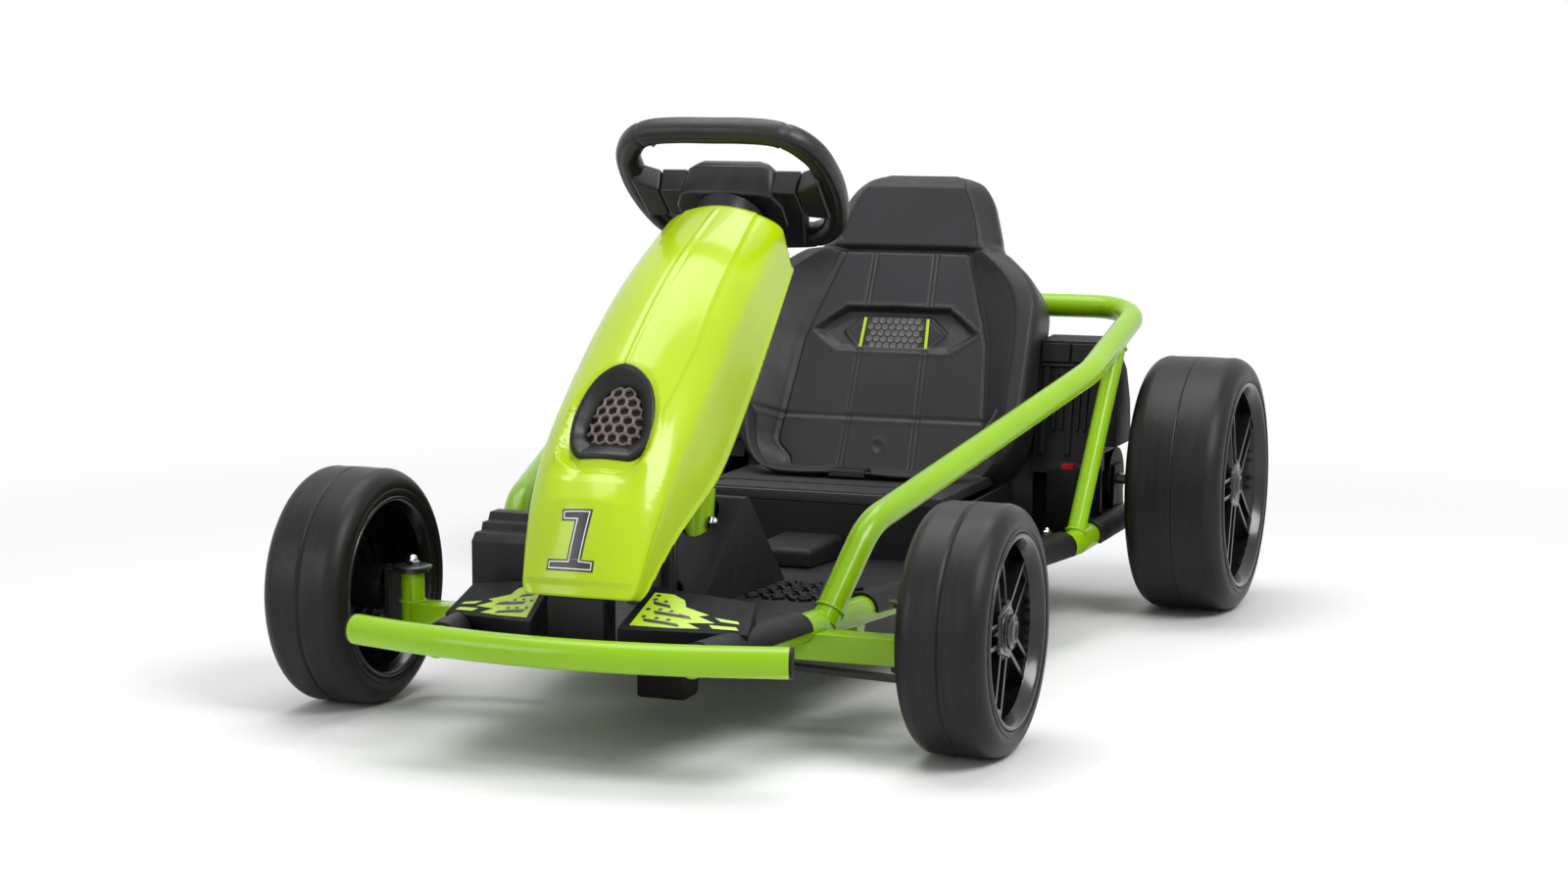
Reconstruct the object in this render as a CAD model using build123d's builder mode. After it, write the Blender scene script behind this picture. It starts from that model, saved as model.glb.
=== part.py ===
"""Electric drift kart for children: tube frame, nose cowl, bucket seat, four slick wheels.

Millimetres. +X is forward, +Y is the driver's left, +Z is up, and the floor is z = 0.
The origin is on the floor under the middle of the kart.
"""
import math
import os

from build123d import *

os.makedirs("parts", exist_ok=True)

# Axles and wheels
WHEELBASE = 730.0
FRONT_AXLE_X = 320.5
REAR_AXLE_X = FRONT_AXLE_X - WHEELBASE
# columns: tyre radius, tyre width, seat radius of the tyre on the rim, half track, share of the
# tyre's height that its shoulders round off
FRONT_WHEEL = dict(tyre_r=109.0, width=81.0, seat_r=84.0, half_track=299.0, shoulder=0.68)
REAR_WHEEL = dict(tyre_r=136.0, width=105.5, seat_r=110.0, half_track=327.0, shoulder=0.77)
REAR_INNER_Y = REAR_WHEEL["half_track"] - REAR_WHEEL["width"] / 2
FRONT_AXLE_Z = FRONT_WHEEL["tyre_r"]
REAR_AXLE_Z = REAR_WHEEL["tyre_r"]
RIM_WALL = 4.0
RIM_LIP = 3.0
SPOKE_PAIRS = 5
SPOKE_WIDTH = 4.0
SPOKE_SPREAD = 9.0
SPOKE_TIE_SHARE = 0.86
SPOKE_DEPTH = 12.0
DISH = 12.0
HUB_R = 21.0
HUB_CAP_R = 15.0
HUB_CAP_STEP = 6.0
AXLE_R = 6.0
FIT = 0.3

# Tubes of the frame
BUMPER_R = 13.2
RAIL_R = 13.0
HOOP_R = 12.7
STRUT_R = 9.6
BUMPER_TIP_Y = 201.0
BUMPER_END_X = 498.5
BUMPER_MID_X = 532.3
BUMPER_Z = 107.0
BUMPER_STRAIGHT = 40.0
CAP_THICK = 2.5
RAIL_FRONT = (512.0, 116.6, 103.0)
RAIL_BEND = (-240.0, 236.0, 91.0)
RAIL_REAR_X = REAR_AXLE_X - 42.5
HOOP_FOOT = (297.0, 153.0, 99.0)
HOOP_KNEE = (235.0, 174.0, 180.0)
HOOP_WIDE = (-216.0, 256.0, 273.0)
HOOP_REAR_X = REAR_AXLE_X - 36.5
HOOP_REAR_Y = 251.0
HOOP_REAR_Z = 320.0
STRUT_TOP = (-345.0, 253.5, 299.0)
STRUT_FOOT_X = -236.0
CROSS_R = 11.0

# Front beam and kingpins
BEAM_DEPTH = 26.0
BEAM_HEIGHT = 24.0
BEAM_Z = 73.0
KINGPIN_INSET = 59.0
KINGPIN_Y = FRONT_WHEEL["half_track"] - KINGPIN_INSET
HEAD_TUBE_R = 10.8
HEAD_TUBE_Z0 = 72.0
HEAD_TUBE_Z1 = 124.0
KINGPIN_R = 5.0
YOKE_PLATE = 4.0
YOKE_GAP = 0.4
YOKE_WIDTH = 30.0
YOKE_REACH = 17.0

# Steering
HUB_POINT = (121.1, 0.0, 458.0)
WHEEL_TILT = 42.0
COLUMN_R = 8.0
LOWER_COLUMN_X = 284.0
JOINT_R = 13.0
ARM = 40.0
ARM_THICK = 6.0
ARM_WIDTH = 16.0
ROD_WIDTH = 12.0
ROD_THICK = 5.0
ROD_EYE_R = 8.5
ROD_PIN_R = 3.5
CRANK_Z = 59.0
ROD_Z_LEFT = 50.0
ROD_Z_RIGHT = 43.0
GEAR_X0 = 266.0
GEAR_WIDTH = 43.0
GEAR_Z0 = 20.0
GEAR_Z1 = 53.0
GEAR_HANGER = 3.0
RIM_HALF_WIDTH = 100.0
RIM_TUBE_R = 11.5
RIM_UP = 90.0
RIM_DOWN = 62.0

# Floor and body
FLOOR_SLOPE = math.radians(2.5)
FLOOR_X0 = -95.0
FLOOR_X1 = 300.0
FLOOR_Z0 = 87.0
PAN_THICK = 4.0
PAN_COVER = 3.0
POST_FOOT = (222.5, 0.0, 100.0)
POST_LEAN = 10.0
POST_R = 10.0
SOCKET_R = 13.0
SOCKET_TOP_Z = 199.0
NOSE_WALL = 3.0


def axis_point(origin, direction, distance):
    """The point at a distance along a unit direction from an origin."""
    return tuple(o + d * distance for o, d in zip(origin, direction))


def rail_y(x):
    """Height of the rail's centre line off the middle plane at x."""
    if x <= RAIL_BEND[0]:
        return RAIL_BEND[1]
    share = (x - RAIL_BEND[0]) / (RAIL_FRONT[0] - RAIL_BEND[0])
    return RAIL_BEND[1] + share * (RAIL_FRONT[1] - RAIL_BEND[1])


def rail_z(x):
    """Height of the rail's centre line above the floor at x."""
    if x <= RAIL_BEND[0]:
        return RAIL_BEND[2]
    share = (x - RAIL_BEND[0]) / (RAIL_FRONT[0] - RAIL_BEND[0])
    return RAIL_BEND[2] + share * (RAIL_FRONT[2] - RAIL_BEND[2])


def floor_z(x):
    """Top of the floor pan at x: level under the seat, then a gentle climb, then level."""
    climb = min(max(x, FLOOR_X0), FLOOR_X1) - FLOOR_X0
    return FLOOR_Z0 + climb * math.tan(FLOOR_SLOPE)


def tube(points, radii, tube_r):
    """A solid round bar along straight runs joined by tangent bends."""
    with BuildPart() as bar:
        with BuildLine() as path:
            if radii:
                FilletPolyline(*points, radius=radii)
            else:
                Polyline(*points)
        with BuildSketch(Plane(origin=path.line @ 0, z_dir=path.line % 0)):
            Circle(tube_r)
        sweep()
    return bar.part


def save(part, name):
    """Label a finished piece and write it as one STEP file."""
    part.label = name
    export_step(part, f"parts/{name}.step")


SIDES = (("left", 1), ("right", -1))

# Front bumper: a bowed tube with straight ends
bow_half = BUMPER_TIP_Y - CAP_THICK
bow_sag = BUMPER_MID_X - BUMPER_END_X
bow_r = (bow_half**2 + bow_sag**2) / (2 * bow_sag)
bow_angle = math.asin((bow_half - BUMPER_STRAIGHT) / bow_r)
bow_centre_x = BUMPER_MID_X - bow_r
bow_join = (bow_centre_x + bow_r * math.cos(bow_angle), bow_r * math.sin(bow_angle))
bow_tip_x = bow_join[0] - (bow_half - bow_join[1]) * math.tan(bow_angle)
with BuildPart() as front_bumper:
    with BuildLine() as bow:
        Line((bow_tip_x, -bow_half, BUMPER_Z), (bow_join[0], -bow_join[1], BUMPER_Z))
        ThreePointArc((bow_join[0], -bow_join[1], BUMPER_Z), (BUMPER_MID_X, 0, BUMPER_Z),
                      (bow_join[0], bow_join[1], BUMPER_Z))
        Line((bow_join[0], bow_join[1], BUMPER_Z), (bow_tip_x, bow_half, BUMPER_Z))
    with BuildSketch(Plane(origin=bow.line @ 0, z_dir=bow.line % 0)):
        Circle(BUMPER_R)
    sweep()
save(front_bumper.part, "front_bumper")

for side_name, side in SIDES:
    cap_dir = (-math.sin(bow_angle), side * math.cos(bow_angle), 0)
    cap_plane = Plane(origin=(bow_tip_x, side * bow_half, BUMPER_Z), z_dir=cap_dir)
    with BuildPart() as bumper_cap:
        with BuildSketch(cap_plane):
            Circle(BUMPER_R)
        extrude(amount=CAP_THICK)
    save(bumper_cap.part, f"bumper_cap_{side_name}")

# Side rails, hoop and struts
rails = {}
for side_name, side in SIDES:
    rail_points = [
        (RAIL_FRONT[0], side * RAIL_FRONT[1], RAIL_FRONT[2]),
        (RAIL_BEND[0], side * RAIL_BEND[1], RAIL_BEND[2]),
        (RAIL_REAR_X, side * RAIL_BEND[1], RAIL_BEND[2]),
    ]
    with BuildPart() as side_rail:
        add(tube(rail_points, [150.0], RAIL_R))
        add(front_bumper.part, mode=Mode.SUBTRACT)
    rails[side_name] = side_rail.part

hoop_points = [
    HOOP_FOOT,
    HOOP_KNEE,
    HOOP_WIDE,
    (HOOP_REAR_X, HOOP_REAR_Y, HOOP_REAR_Z),
    (HOOP_REAR_X, -HOOP_REAR_Y, HOOP_REAR_Z),
    (HOOP_WIDE[0], -HOOP_WIDE[1], HOOP_WIDE[2]),
    (HOOP_KNEE[0], -HOOP_KNEE[1], HOOP_KNEE[2]),
    (HOOP_FOOT[0], -HOOP_FOOT[1], HOOP_FOOT[2]),
]
# bend radii at the knee, at the widest point and at the rear corner
HOOP_BENDS = (60.0, 150.0, 55.0)
with BuildPart() as hoop:
    add(tube(hoop_points, [*HOOP_BENDS, *reversed(HOOP_BENDS)], HOOP_R))
    add(rails["left"], mode=Mode.SUBTRACT)
    add(rails["right"], mode=Mode.SUBTRACT)
save(hoop.part, "hoop")

for side_name, side in SIDES:
    strut_foot = (STRUT_FOOT_X, side * rail_y(STRUT_FOOT_X), rail_z(STRUT_FOOT_X))
    strut_top = (STRUT_TOP[0], side * STRUT_TOP[1], STRUT_TOP[2])
    with BuildPart() as strut:
        add(tube([strut_foot, strut_top], None, STRUT_R))
        add(rails[side_name], mode=Mode.SUBTRACT)
        add(hoop.part, mode=Mode.SUBTRACT)
    save(strut.part, f"strut_{side_name}")
    save(rails[side_name], f"side_rail_{side_name}")

# Front beam with the two kingpin head tubes
BEAM_SETBACK = 4.0
with BuildPart() as front_beam:
    with BuildSketch(Plane.XY.offset(BEAM_Z)):
        with Locations((FRONT_AXLE_X, 0)):
            Rectangle(BEAM_DEPTH, 2 * (KINGPIN_Y - BEAM_SETBACK))
    extrude(amount=BEAM_HEIGHT)
    with BuildSketch(Plane.XY.offset(HEAD_TUBE_Z0)):
        with Locations((FRONT_AXLE_X, KINGPIN_Y), (FRONT_AXLE_X, -KINGPIN_Y)):
            Circle(HEAD_TUBE_R)
    extrude(amount=HEAD_TUBE_Z1 - HEAD_TUBE_Z0)
    with BuildSketch(Plane.XY.offset(HEAD_TUBE_Z0)):
        with Locations((FRONT_AXLE_X, KINGPIN_Y), (FRONT_AXLE_X, -KINGPIN_Y)):
            Circle(KINGPIN_R + FIT)
    extrude(amount=HEAD_TUBE_Z1 - HEAD_TUBE_Z0, mode=Mode.SUBTRACT)
    add(rails["left"], mode=Mode.SUBTRACT)
    add(rails["right"], mode=Mode.SUBTRACT)
save(front_beam.part, "front_beam")

# Cross tubes: one under the floor carries the post, one closes the rear of the frame
front_cross_x = POST_FOOT[0]
front_cross_z = floor_z(front_cross_x) - PAN_THICK - CROSS_R - FIT
rear_cross_x = RAIL_REAR_X + 14.0
crosses = {}
for cross_name, cross_x, cross_z in (
    ("cross_tube_front", front_cross_x, front_cross_z),
    ("cross_tube_rear", rear_cross_x, rail_z(rear_cross_x)),
):
    with BuildPart() as cross_tube:
        add(tube([(cross_x, -rail_y(cross_x), cross_z), (cross_x, rail_y(cross_x), cross_z)],
                 None, CROSS_R))
        add(rails["left"], mode=Mode.SUBTRACT)
        add(rails["right"], mode=Mode.SUBTRACT)
    crosses[cross_name] = cross_tube.part
    save(cross_tube.part, cross_name)

# Steering axis: the wheel turns on a line tilted back from vertical
tilt = math.radians(WHEEL_TILT)
AXIS_DOWN = (math.sin(tilt), 0.0, -math.cos(tilt))
AXIS_UP = (-AXIS_DOWN[0], 0.0, -AXIS_DOWN[2])
upper_length = (LOWER_COLUMN_X - HUB_POINT[0]) / AXIS_DOWN[0]
joint_z = HUB_POINT[2] - upper_length * math.cos(tilt)


def wheel_face(height):
    """Plane across the steering axis, height above the hub point, local y up the rim."""
    return Plane(origin=axis_point(HUB_POINT, AXIS_UP, height), x_dir=(0, -1, 0), z_dir=AXIS_UP)


# Steering wheel rim: a D of round section with two wide spokes and a lower web
RIM_DISH = 11.0
SPOKE_THICK = 12.0
SPOKE_TALL = 42.0
SPOKE_UP = 6.0
WEB_TOP_HALF = 66.0
WEB_FOOT_HALF = 56.0
rim_corners = [
    (0, -RIM_DOWN),
    (0.7 * RIM_HALF_WIDTH, -RIM_DOWN),
    (RIM_HALF_WIDTH, -0.2 * RIM_DOWN),
    (0.92 * RIM_HALF_WIDTH, 0.6 * RIM_UP),
    (0.56 * RIM_HALF_WIDTH, RIM_UP),
    (0, RIM_UP),
]
rim_face = wheel_face(RIM_DISH)
rim_points = [rim_face.from_local_coords(Vector(x, y, 0)) for x, y in rim_corners]
# columns: height of the face, half width, low edge, high edge
PAD_FACES = ((-8.0, 44.0, -36.0, 13.0), (27.0, 39.0, -38.0, 29.0))
PAD_CORNER = 9.0
with BuildPart() as horn_pad:
    for pad_height, pad_half, pad_low, pad_high in PAD_FACES:
        with BuildSketch(wheel_face(pad_height)):
            with Locations((0, (pad_low + pad_high) / 2)):
                RectangleRounded(2 * pad_half, pad_high - pad_low, PAD_CORNER)
    loft()
    chamfer(horn_pad.faces().sort_by(Axis(HUB_POINT, AXIS_UP))[-1].edges(), 4)
with BuildPart() as steering_rim:
    add(tube(rim_points, [36.0] * 4, RIM_TUBE_R))
    mirror(about=Plane.XZ)
    with BuildSketch(wheel_face(RIM_DISH - SPOKE_THICK / 2)):
        with Locations((0, SPOKE_UP)):
            Rectangle(2 * RIM_HALF_WIDTH - RIM_TUBE_R, SPOKE_TALL)
        Polygon((-WEB_TOP_HALF, 0), (WEB_TOP_HALF, 0), (WEB_FOOT_HALF, -RIM_DOWN),
                (-WEB_FOOT_HALF, -RIM_DOWN), align=None)
    extrude(amount=SPOKE_THICK)
    add(horn_pad.part, mode=Mode.SUBTRACT)
save(steering_rim.part, "steering_wheel_rim")

BOSS_R = 24.0
BOSS_TOP = 5.0
BOSS_DROP = 13.0
COLUMN_TOP = 17.0
with BuildPart() as upper_column:
    with BuildSketch(wheel_face(COLUMN_TOP)):
        Circle(COLUMN_R)
    extrude(amount=-(COLUMN_TOP + upper_length))
    with BuildSketch(wheel_face(BOSS_TOP)):
        Circle(BOSS_R)
    extrude(amount=-BOSS_DROP)
    with Locations((LOWER_COLUMN_X, 0, joint_z)):
        Sphere(JOINT_R + FIT, mode=Mode.SUBTRACT)
save(upper_column.part, "upper_steering_column")
with BuildPart() as pad_body:
    add(horn_pad.part)
    add(upper_column.part, mode=Mode.SUBTRACT)
save(pad_body.part, "steering_wheel_pad")

# Lower column: ball joint on top, crank arm at the bottom
with BuildPart() as lower_column:
    with BuildSketch(Plane.XY.offset(GEAR_Z0 + GEAR_HANGER)):
        with Locations((LOWER_COLUMN_X, 0)):
            Circle(COLUMN_R)
    extrude(amount=joint_z - GEAR_Z0 - GEAR_HANGER)
    with Locations((LOWER_COLUMN_X, 0, joint_z)):
        Sphere(JOINT_R)
    with BuildSketch(Plane.XY.offset(CRANK_Z - ARM_THICK / 2)):
        with Locations((LOWER_COLUMN_X - ARM / 2, 0)):
            SlotCenterToCenter(ARM, ARM_WIDTH)
        with Locations((LOWER_COLUMN_X, 0)):
            Circle(COLUMN_R + 4)
    extrude(amount=ARM_THICK)
    with BuildSketch(Plane.XY.offset(ROD_Z_RIGHT - ROD_THICK)):
        with Locations((LOWER_COLUMN_X - ARM, 0)):
            Circle(ROD_PIN_R)
    extrude(amount=CRANK_Z - ROD_Z_RIGHT + ROD_THICK)
save(lower_column.part, "lower_steering_column")

with BuildPart() as gear_housing:
    gear_x1 = FRONT_AXLE_X - BEAM_DEPTH / 2
    with BuildSketch(Plane.XY.offset(GEAR_Z0)):
        with Locations(((GEAR_X0 + gear_x1) / 2, 0)):
            Rectangle(gear_x1 - GEAR_X0, GEAR_WIDTH)
    extrude(amount=GEAR_Z1 - GEAR_Z0)
    fillet(gear_housing.edges().filter_by(Axis.Y).group_by(Axis.Z)[0], 8)
    with BuildSketch(Plane.XY.offset(GEAR_Z0 + GEAR_HANGER)):
        with Locations((gear_x1 - GEAR_HANGER / 2, 0)):
            Rectangle(GEAR_HANGER, GEAR_WIDTH)
    extrude(amount=BEAM_Z + BEAM_HEIGHT - GEAR_Z0 - GEAR_HANGER)
    with BuildSketch(Plane.XY.offset(GEAR_Z0 + GEAR_HANGER - FIT)):
        with Locations((LOWER_COLUMN_X, 0)):
            Circle(COLUMN_R + FIT)
    extrude(amount=GEAR_Z1, mode=Mode.SUBTRACT)
save(gear_housing.part, "steering_gear_housing")

# Steering knuckles: a yoke round each head tube, a spindle and a rear-pointing arm
SPINDLE_END = 22.0
for side_name, side in SIDES:
    yoke_z0 = HEAD_TUBE_Z0 - YOKE_GAP - YOKE_PLATE
    yoke_z1 = HEAD_TUBE_Z1 + YOKE_GAP
    plate_y = side * (KINGPIN_Y + YOKE_REACH)
    pin_y = side * KINGPIN_Y
    spindle_y = side * (FRONT_WHEEL["half_track"] + SPINDLE_END)
    with BuildPart() as knuckle:
        for level in (yoke_z0, yoke_z1):
            with BuildSketch(Plane.XY.offset(level)):
                with Locations((FRONT_AXLE_X, pin_y)):
                    Circle(YOKE_WIDTH / 2)
                with Locations((FRONT_AXLE_X, (pin_y + plate_y) / 2)):
                    Rectangle(YOKE_WIDTH, abs(plate_y - pin_y))
            extrude(amount=YOKE_PLATE)
        with BuildSketch(Plane.XY.offset(yoke_z0)):
            with Locations((FRONT_AXLE_X, plate_y + side * YOKE_PLATE / 2)):
                Rectangle(YOKE_WIDTH, YOKE_PLATE)
        extrude(amount=yoke_z1 + YOKE_PLATE - yoke_z0)
        with BuildSketch(Plane.XY.offset(yoke_z0)):
            with Locations((FRONT_AXLE_X, pin_y)):
                Circle(KINGPIN_R)
        extrude(amount=yoke_z1 + YOKE_PLATE - yoke_z0)
        with BuildSketch(Plane.XY.offset(yoke_z0)):
            with Locations((FRONT_AXLE_X - ARM / 2, pin_y)):
                SlotCenterToCenter(ARM, ARM_WIDTH)
        extrude(amount=YOKE_PLATE)
        rod_level = ROD_Z_LEFT if side > 0 else ROD_Z_RIGHT
        with BuildSketch(Plane.XY.offset(rod_level - ROD_THICK)):
            with Locations((FRONT_AXLE_X - ARM, pin_y)):
                Circle(ROD_PIN_R)
        extrude(amount=yoke_z0 - rod_level + ROD_THICK)
        with BuildSketch(Plane(origin=(FRONT_AXLE_X, plate_y, FRONT_AXLE_Z), z_dir=(0, side, 0))):
            Circle(AXLE_R)
        extrude(amount=abs(spindle_y - plate_y))
    save(knuckle.part, f"knuckle_{side_name}")

    crank_pin = Vector(LOWER_COLUMN_X - ARM, 0)
    arm_pin = Vector(FRONT_AXLE_X - ARM, pin_y)
    rod_vector = arm_pin - crank_pin
    rod_angle = math.degrees(math.atan2(rod_vector.Y, rod_vector.X))
    rod_mid = (crank_pin + arm_pin) * 0.5
    with BuildPart() as tie_rod:
        with BuildSketch(Plane.XY.offset(rod_level - ROD_THICK / 2)):
            with Locations(rod_mid):
                SlotCenterToCenter(rod_vector.length, ROD_WIDTH, rotation=rod_angle)
            with Locations(crank_pin, arm_pin):
                Circle(ROD_EYE_R)
                Circle(ROD_PIN_R + FIT, mode=Mode.SUBTRACT)
        extrude(amount=ROD_THICK)
    save(tie_rod.part, f"tie_rod_{side_name}")


def wheel_plane(x, y, z, side):
    """Plane through a wheel's centre: local x forward, local y along the axle, outwards."""
    return Plane(origin=(x, y, z), x_dir=(1, 0, 0), z_dir=(0, 0, side))


# Wheels: a slick tyre on a spoked rim, turning on its own axle
WEB_THICK = 3.0
HUB_INNER = 34.0
HUB_OUTER = 29.0
# columns: ring radius as a share of the barrel's, depth of the ring behind the web
INNER_RINGS = ((0.74, 5.0), (0.48, 8.0))
for place, spec, axle_x, axle_z in (
    ("front", FRONT_WHEEL, FRONT_AXLE_X, FRONT_AXLE_Z),
    ("rear", REAR_WHEEL, REAR_AXLE_X, REAR_AXLE_Z),
):
    half = spec["width"] / 2
    barrel_r = spec["seat_r"] - RIM_WALL
    for side_name, side in SIDES:
        centre_y = side * spec["half_track"]
        plane = wheel_plane(axle_x, centre_y, axle_z, side)
        axle_line = Axis((axle_x, centre_y, axle_z), (0, 1, 0))
        with BuildPart() as tyre:
            with BuildSketch(plane) as tyre_section:
                with Locations(((spec["tyre_r"] + spec["seat_r"]) / 2, 0)):
                    Rectangle(spec["tyre_r"] - spec["seat_r"], spec["width"])
                outer = tyre_section.vertices().group_by(Axis.X)[-1]
                fillet(outer, spec["shoulder"] * (spec["tyre_r"] - spec["seat_r"]))
            revolve(axis=axle_line)
        save(tyre.part, f"tyre_{place}_{side_name}")

        face_out = half - DISH
        with BuildPart() as rim:
            with BuildSketch(plane):
                with Locations((spec["seat_r"] - RIM_WALL / 2, 0)):
                    Rectangle(RIM_WALL, spec["width"] - 2 * RIM_LIP)
                with Locations((barrel_r / 2 + AXLE_R / 2, face_out - SPOKE_DEPTH - WEB_THICK / 2)):
                    Rectangle(barrel_r - AXLE_R - FIT, WEB_THICK)
                with Locations(((HUB_R + AXLE_R + FIT) / 2, (HUB_OUTER - HUB_INNER) / 2)):
                    Rectangle(HUB_R - AXLE_R - FIT, HUB_INNER + HUB_OUTER)
                with Locations((HUB_CAP_R / 2, HUB_OUTER + HUB_CAP_STEP / 2)):
                    Rectangle(HUB_CAP_R, HUB_CAP_STEP)
                for ring_share, ring_depth in INNER_RINGS:
                    ring_at = face_out - SPOKE_DEPTH - (WEB_THICK + ring_depth) / 2
                    with Locations((barrel_r * ring_share, ring_at)):
                        Rectangle(RIM_WALL, WEB_THICK + ring_depth)
            revolve(axis=axle_line)
            spoke_face = Plane(origin=(axle_x, centre_y + side * (face_out - SPOKE_DEPTH), axle_z),
                               x_dir=(1, 0, 0), z_dir=(0, side, 0))
            with BuildSketch(spoke_face):
                RegularPolygon(HUB_R + SPOKE_WIDTH, SPOKE_PAIRS)
                Circle(HUB_R - 1, mode=Mode.SUBTRACT)
                with PolarLocations(0, SPOKE_PAIRS):
                    spoke_mid = (barrel_r + HUB_R) / 2
                    with Locations((spoke_mid, SPOKE_SPREAD), (spoke_mid, -SPOKE_SPREAD)):
                        Rectangle(barrel_r - HUB_R + 1, SPOKE_WIDTH)
                    with Locations((barrel_r * SPOKE_TIE_SHARE, 0)):
                        Rectangle(SPOKE_WIDTH, 2 * SPOKE_SPREAD)
            extrude(amount=SPOKE_DEPTH)
        save(rim.part, f"rim_{place}_{side_name}")

# Post under the nose: a green socket on the cross tube, a black tube and the column's bearing
lean = math.radians(POST_LEAN)
POST_UP = (-math.sin(lean), 0.0, math.cos(lean))
post_gap = POST_FOOT[0] - HUB_POINT[0] - math.tan(lean) * (HUB_POINT[2] - POST_FOOT[2])
bearing_at = post_gap / (AXIS_DOWN[0] + math.tan(lean) * AXIS_DOWN[2])
bearing_point = axis_point(HUB_POINT, AXIS_DOWN, bearing_at)
BEARING_R = 13.0
BEARING_LONG = 24.0
post_plane = Plane(origin=POST_FOOT, x_dir=(math.cos(lean), 0, math.sin(lean)), z_dir=POST_UP)
socket_long = (SOCKET_TOP_Z - POST_FOOT[2]) / math.cos(lean)
post_long = (bearing_point[2] - POST_FOOT[2]) / math.cos(lean)
POST_INSERT = 60.0
bearing_plane = Plane(origin=axis_point(bearing_point, AXIS_UP, BEARING_LONG / 2), z_dir=AXIS_DOWN)
with BuildPart() as post_socket:
    with BuildSketch(post_plane.offset(-CROSS_R)):
        Circle(SOCKET_R)
    extrude(amount=socket_long + CROSS_R)
    with BuildSketch(post_plane.offset(socket_long - POST_INSERT)):
        Circle(POST_R + FIT)
    extrude(amount=POST_INSERT, mode=Mode.SUBTRACT)
    add(crosses["cross_tube_front"], mode=Mode.SUBTRACT)
    split(bisect_by=Plane.XY.offset(front_cross_z), keep=Keep.TOP)
save(post_socket.part, "post_socket")
with BuildPart() as post_tube:
    with BuildSketch(post_plane.offset(socket_long - POST_INSERT)):
        Circle(POST_R)
    extrude(amount=post_long - socket_long + POST_INSERT)
    with BuildSketch(bearing_plane):
        Circle(BEARING_R)
    extrude(amount=BEARING_LONG)
    with BuildSketch(bearing_plane.offset(-2 * BEARING_LONG)):
        Circle(COLUMN_R + FIT)
    extrude(amount=6 * BEARING_LONG, mode=Mode.SUBTRACT)
save(post_tube.part, "post_tube")

# Floor pan: a tray whose edges wrap over the rails, with windows at the frame's welds
PAN_FRONT_X = 500.0
PAN_REAR_X = REAR_AXLE_X - 10.5
PAN_GAP = 0.4
RISER_X = -95.0
RISER_WALL = 4.0
RISER_HALF = 150.0
RISER_TOP = 141.0
RISER_REAR_X = -300.0
# columns: window's front end, window's rear end
PAN_WINDOWS = ((340.0, 222.0), (-208.0, -292.0))
SOCKET_HOLE_R = 17.0
COLUMN_HOLE_R = 13.0


def rail_cover(side, front_x, rear_x, cover_r):
    """A bar of a given radius along one rail, used for the edge that wraps over it."""
    return tube([
        (front_x, side * rail_y(front_x), rail_z(front_x)),
        (RAIL_BEND[0], side * RAIL_BEND[1], RAIL_BEND[2]),
        (rear_x, side * RAIL_BEND[1], RAIL_BEND[2]),
    ], [150.0], cover_r)


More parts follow.
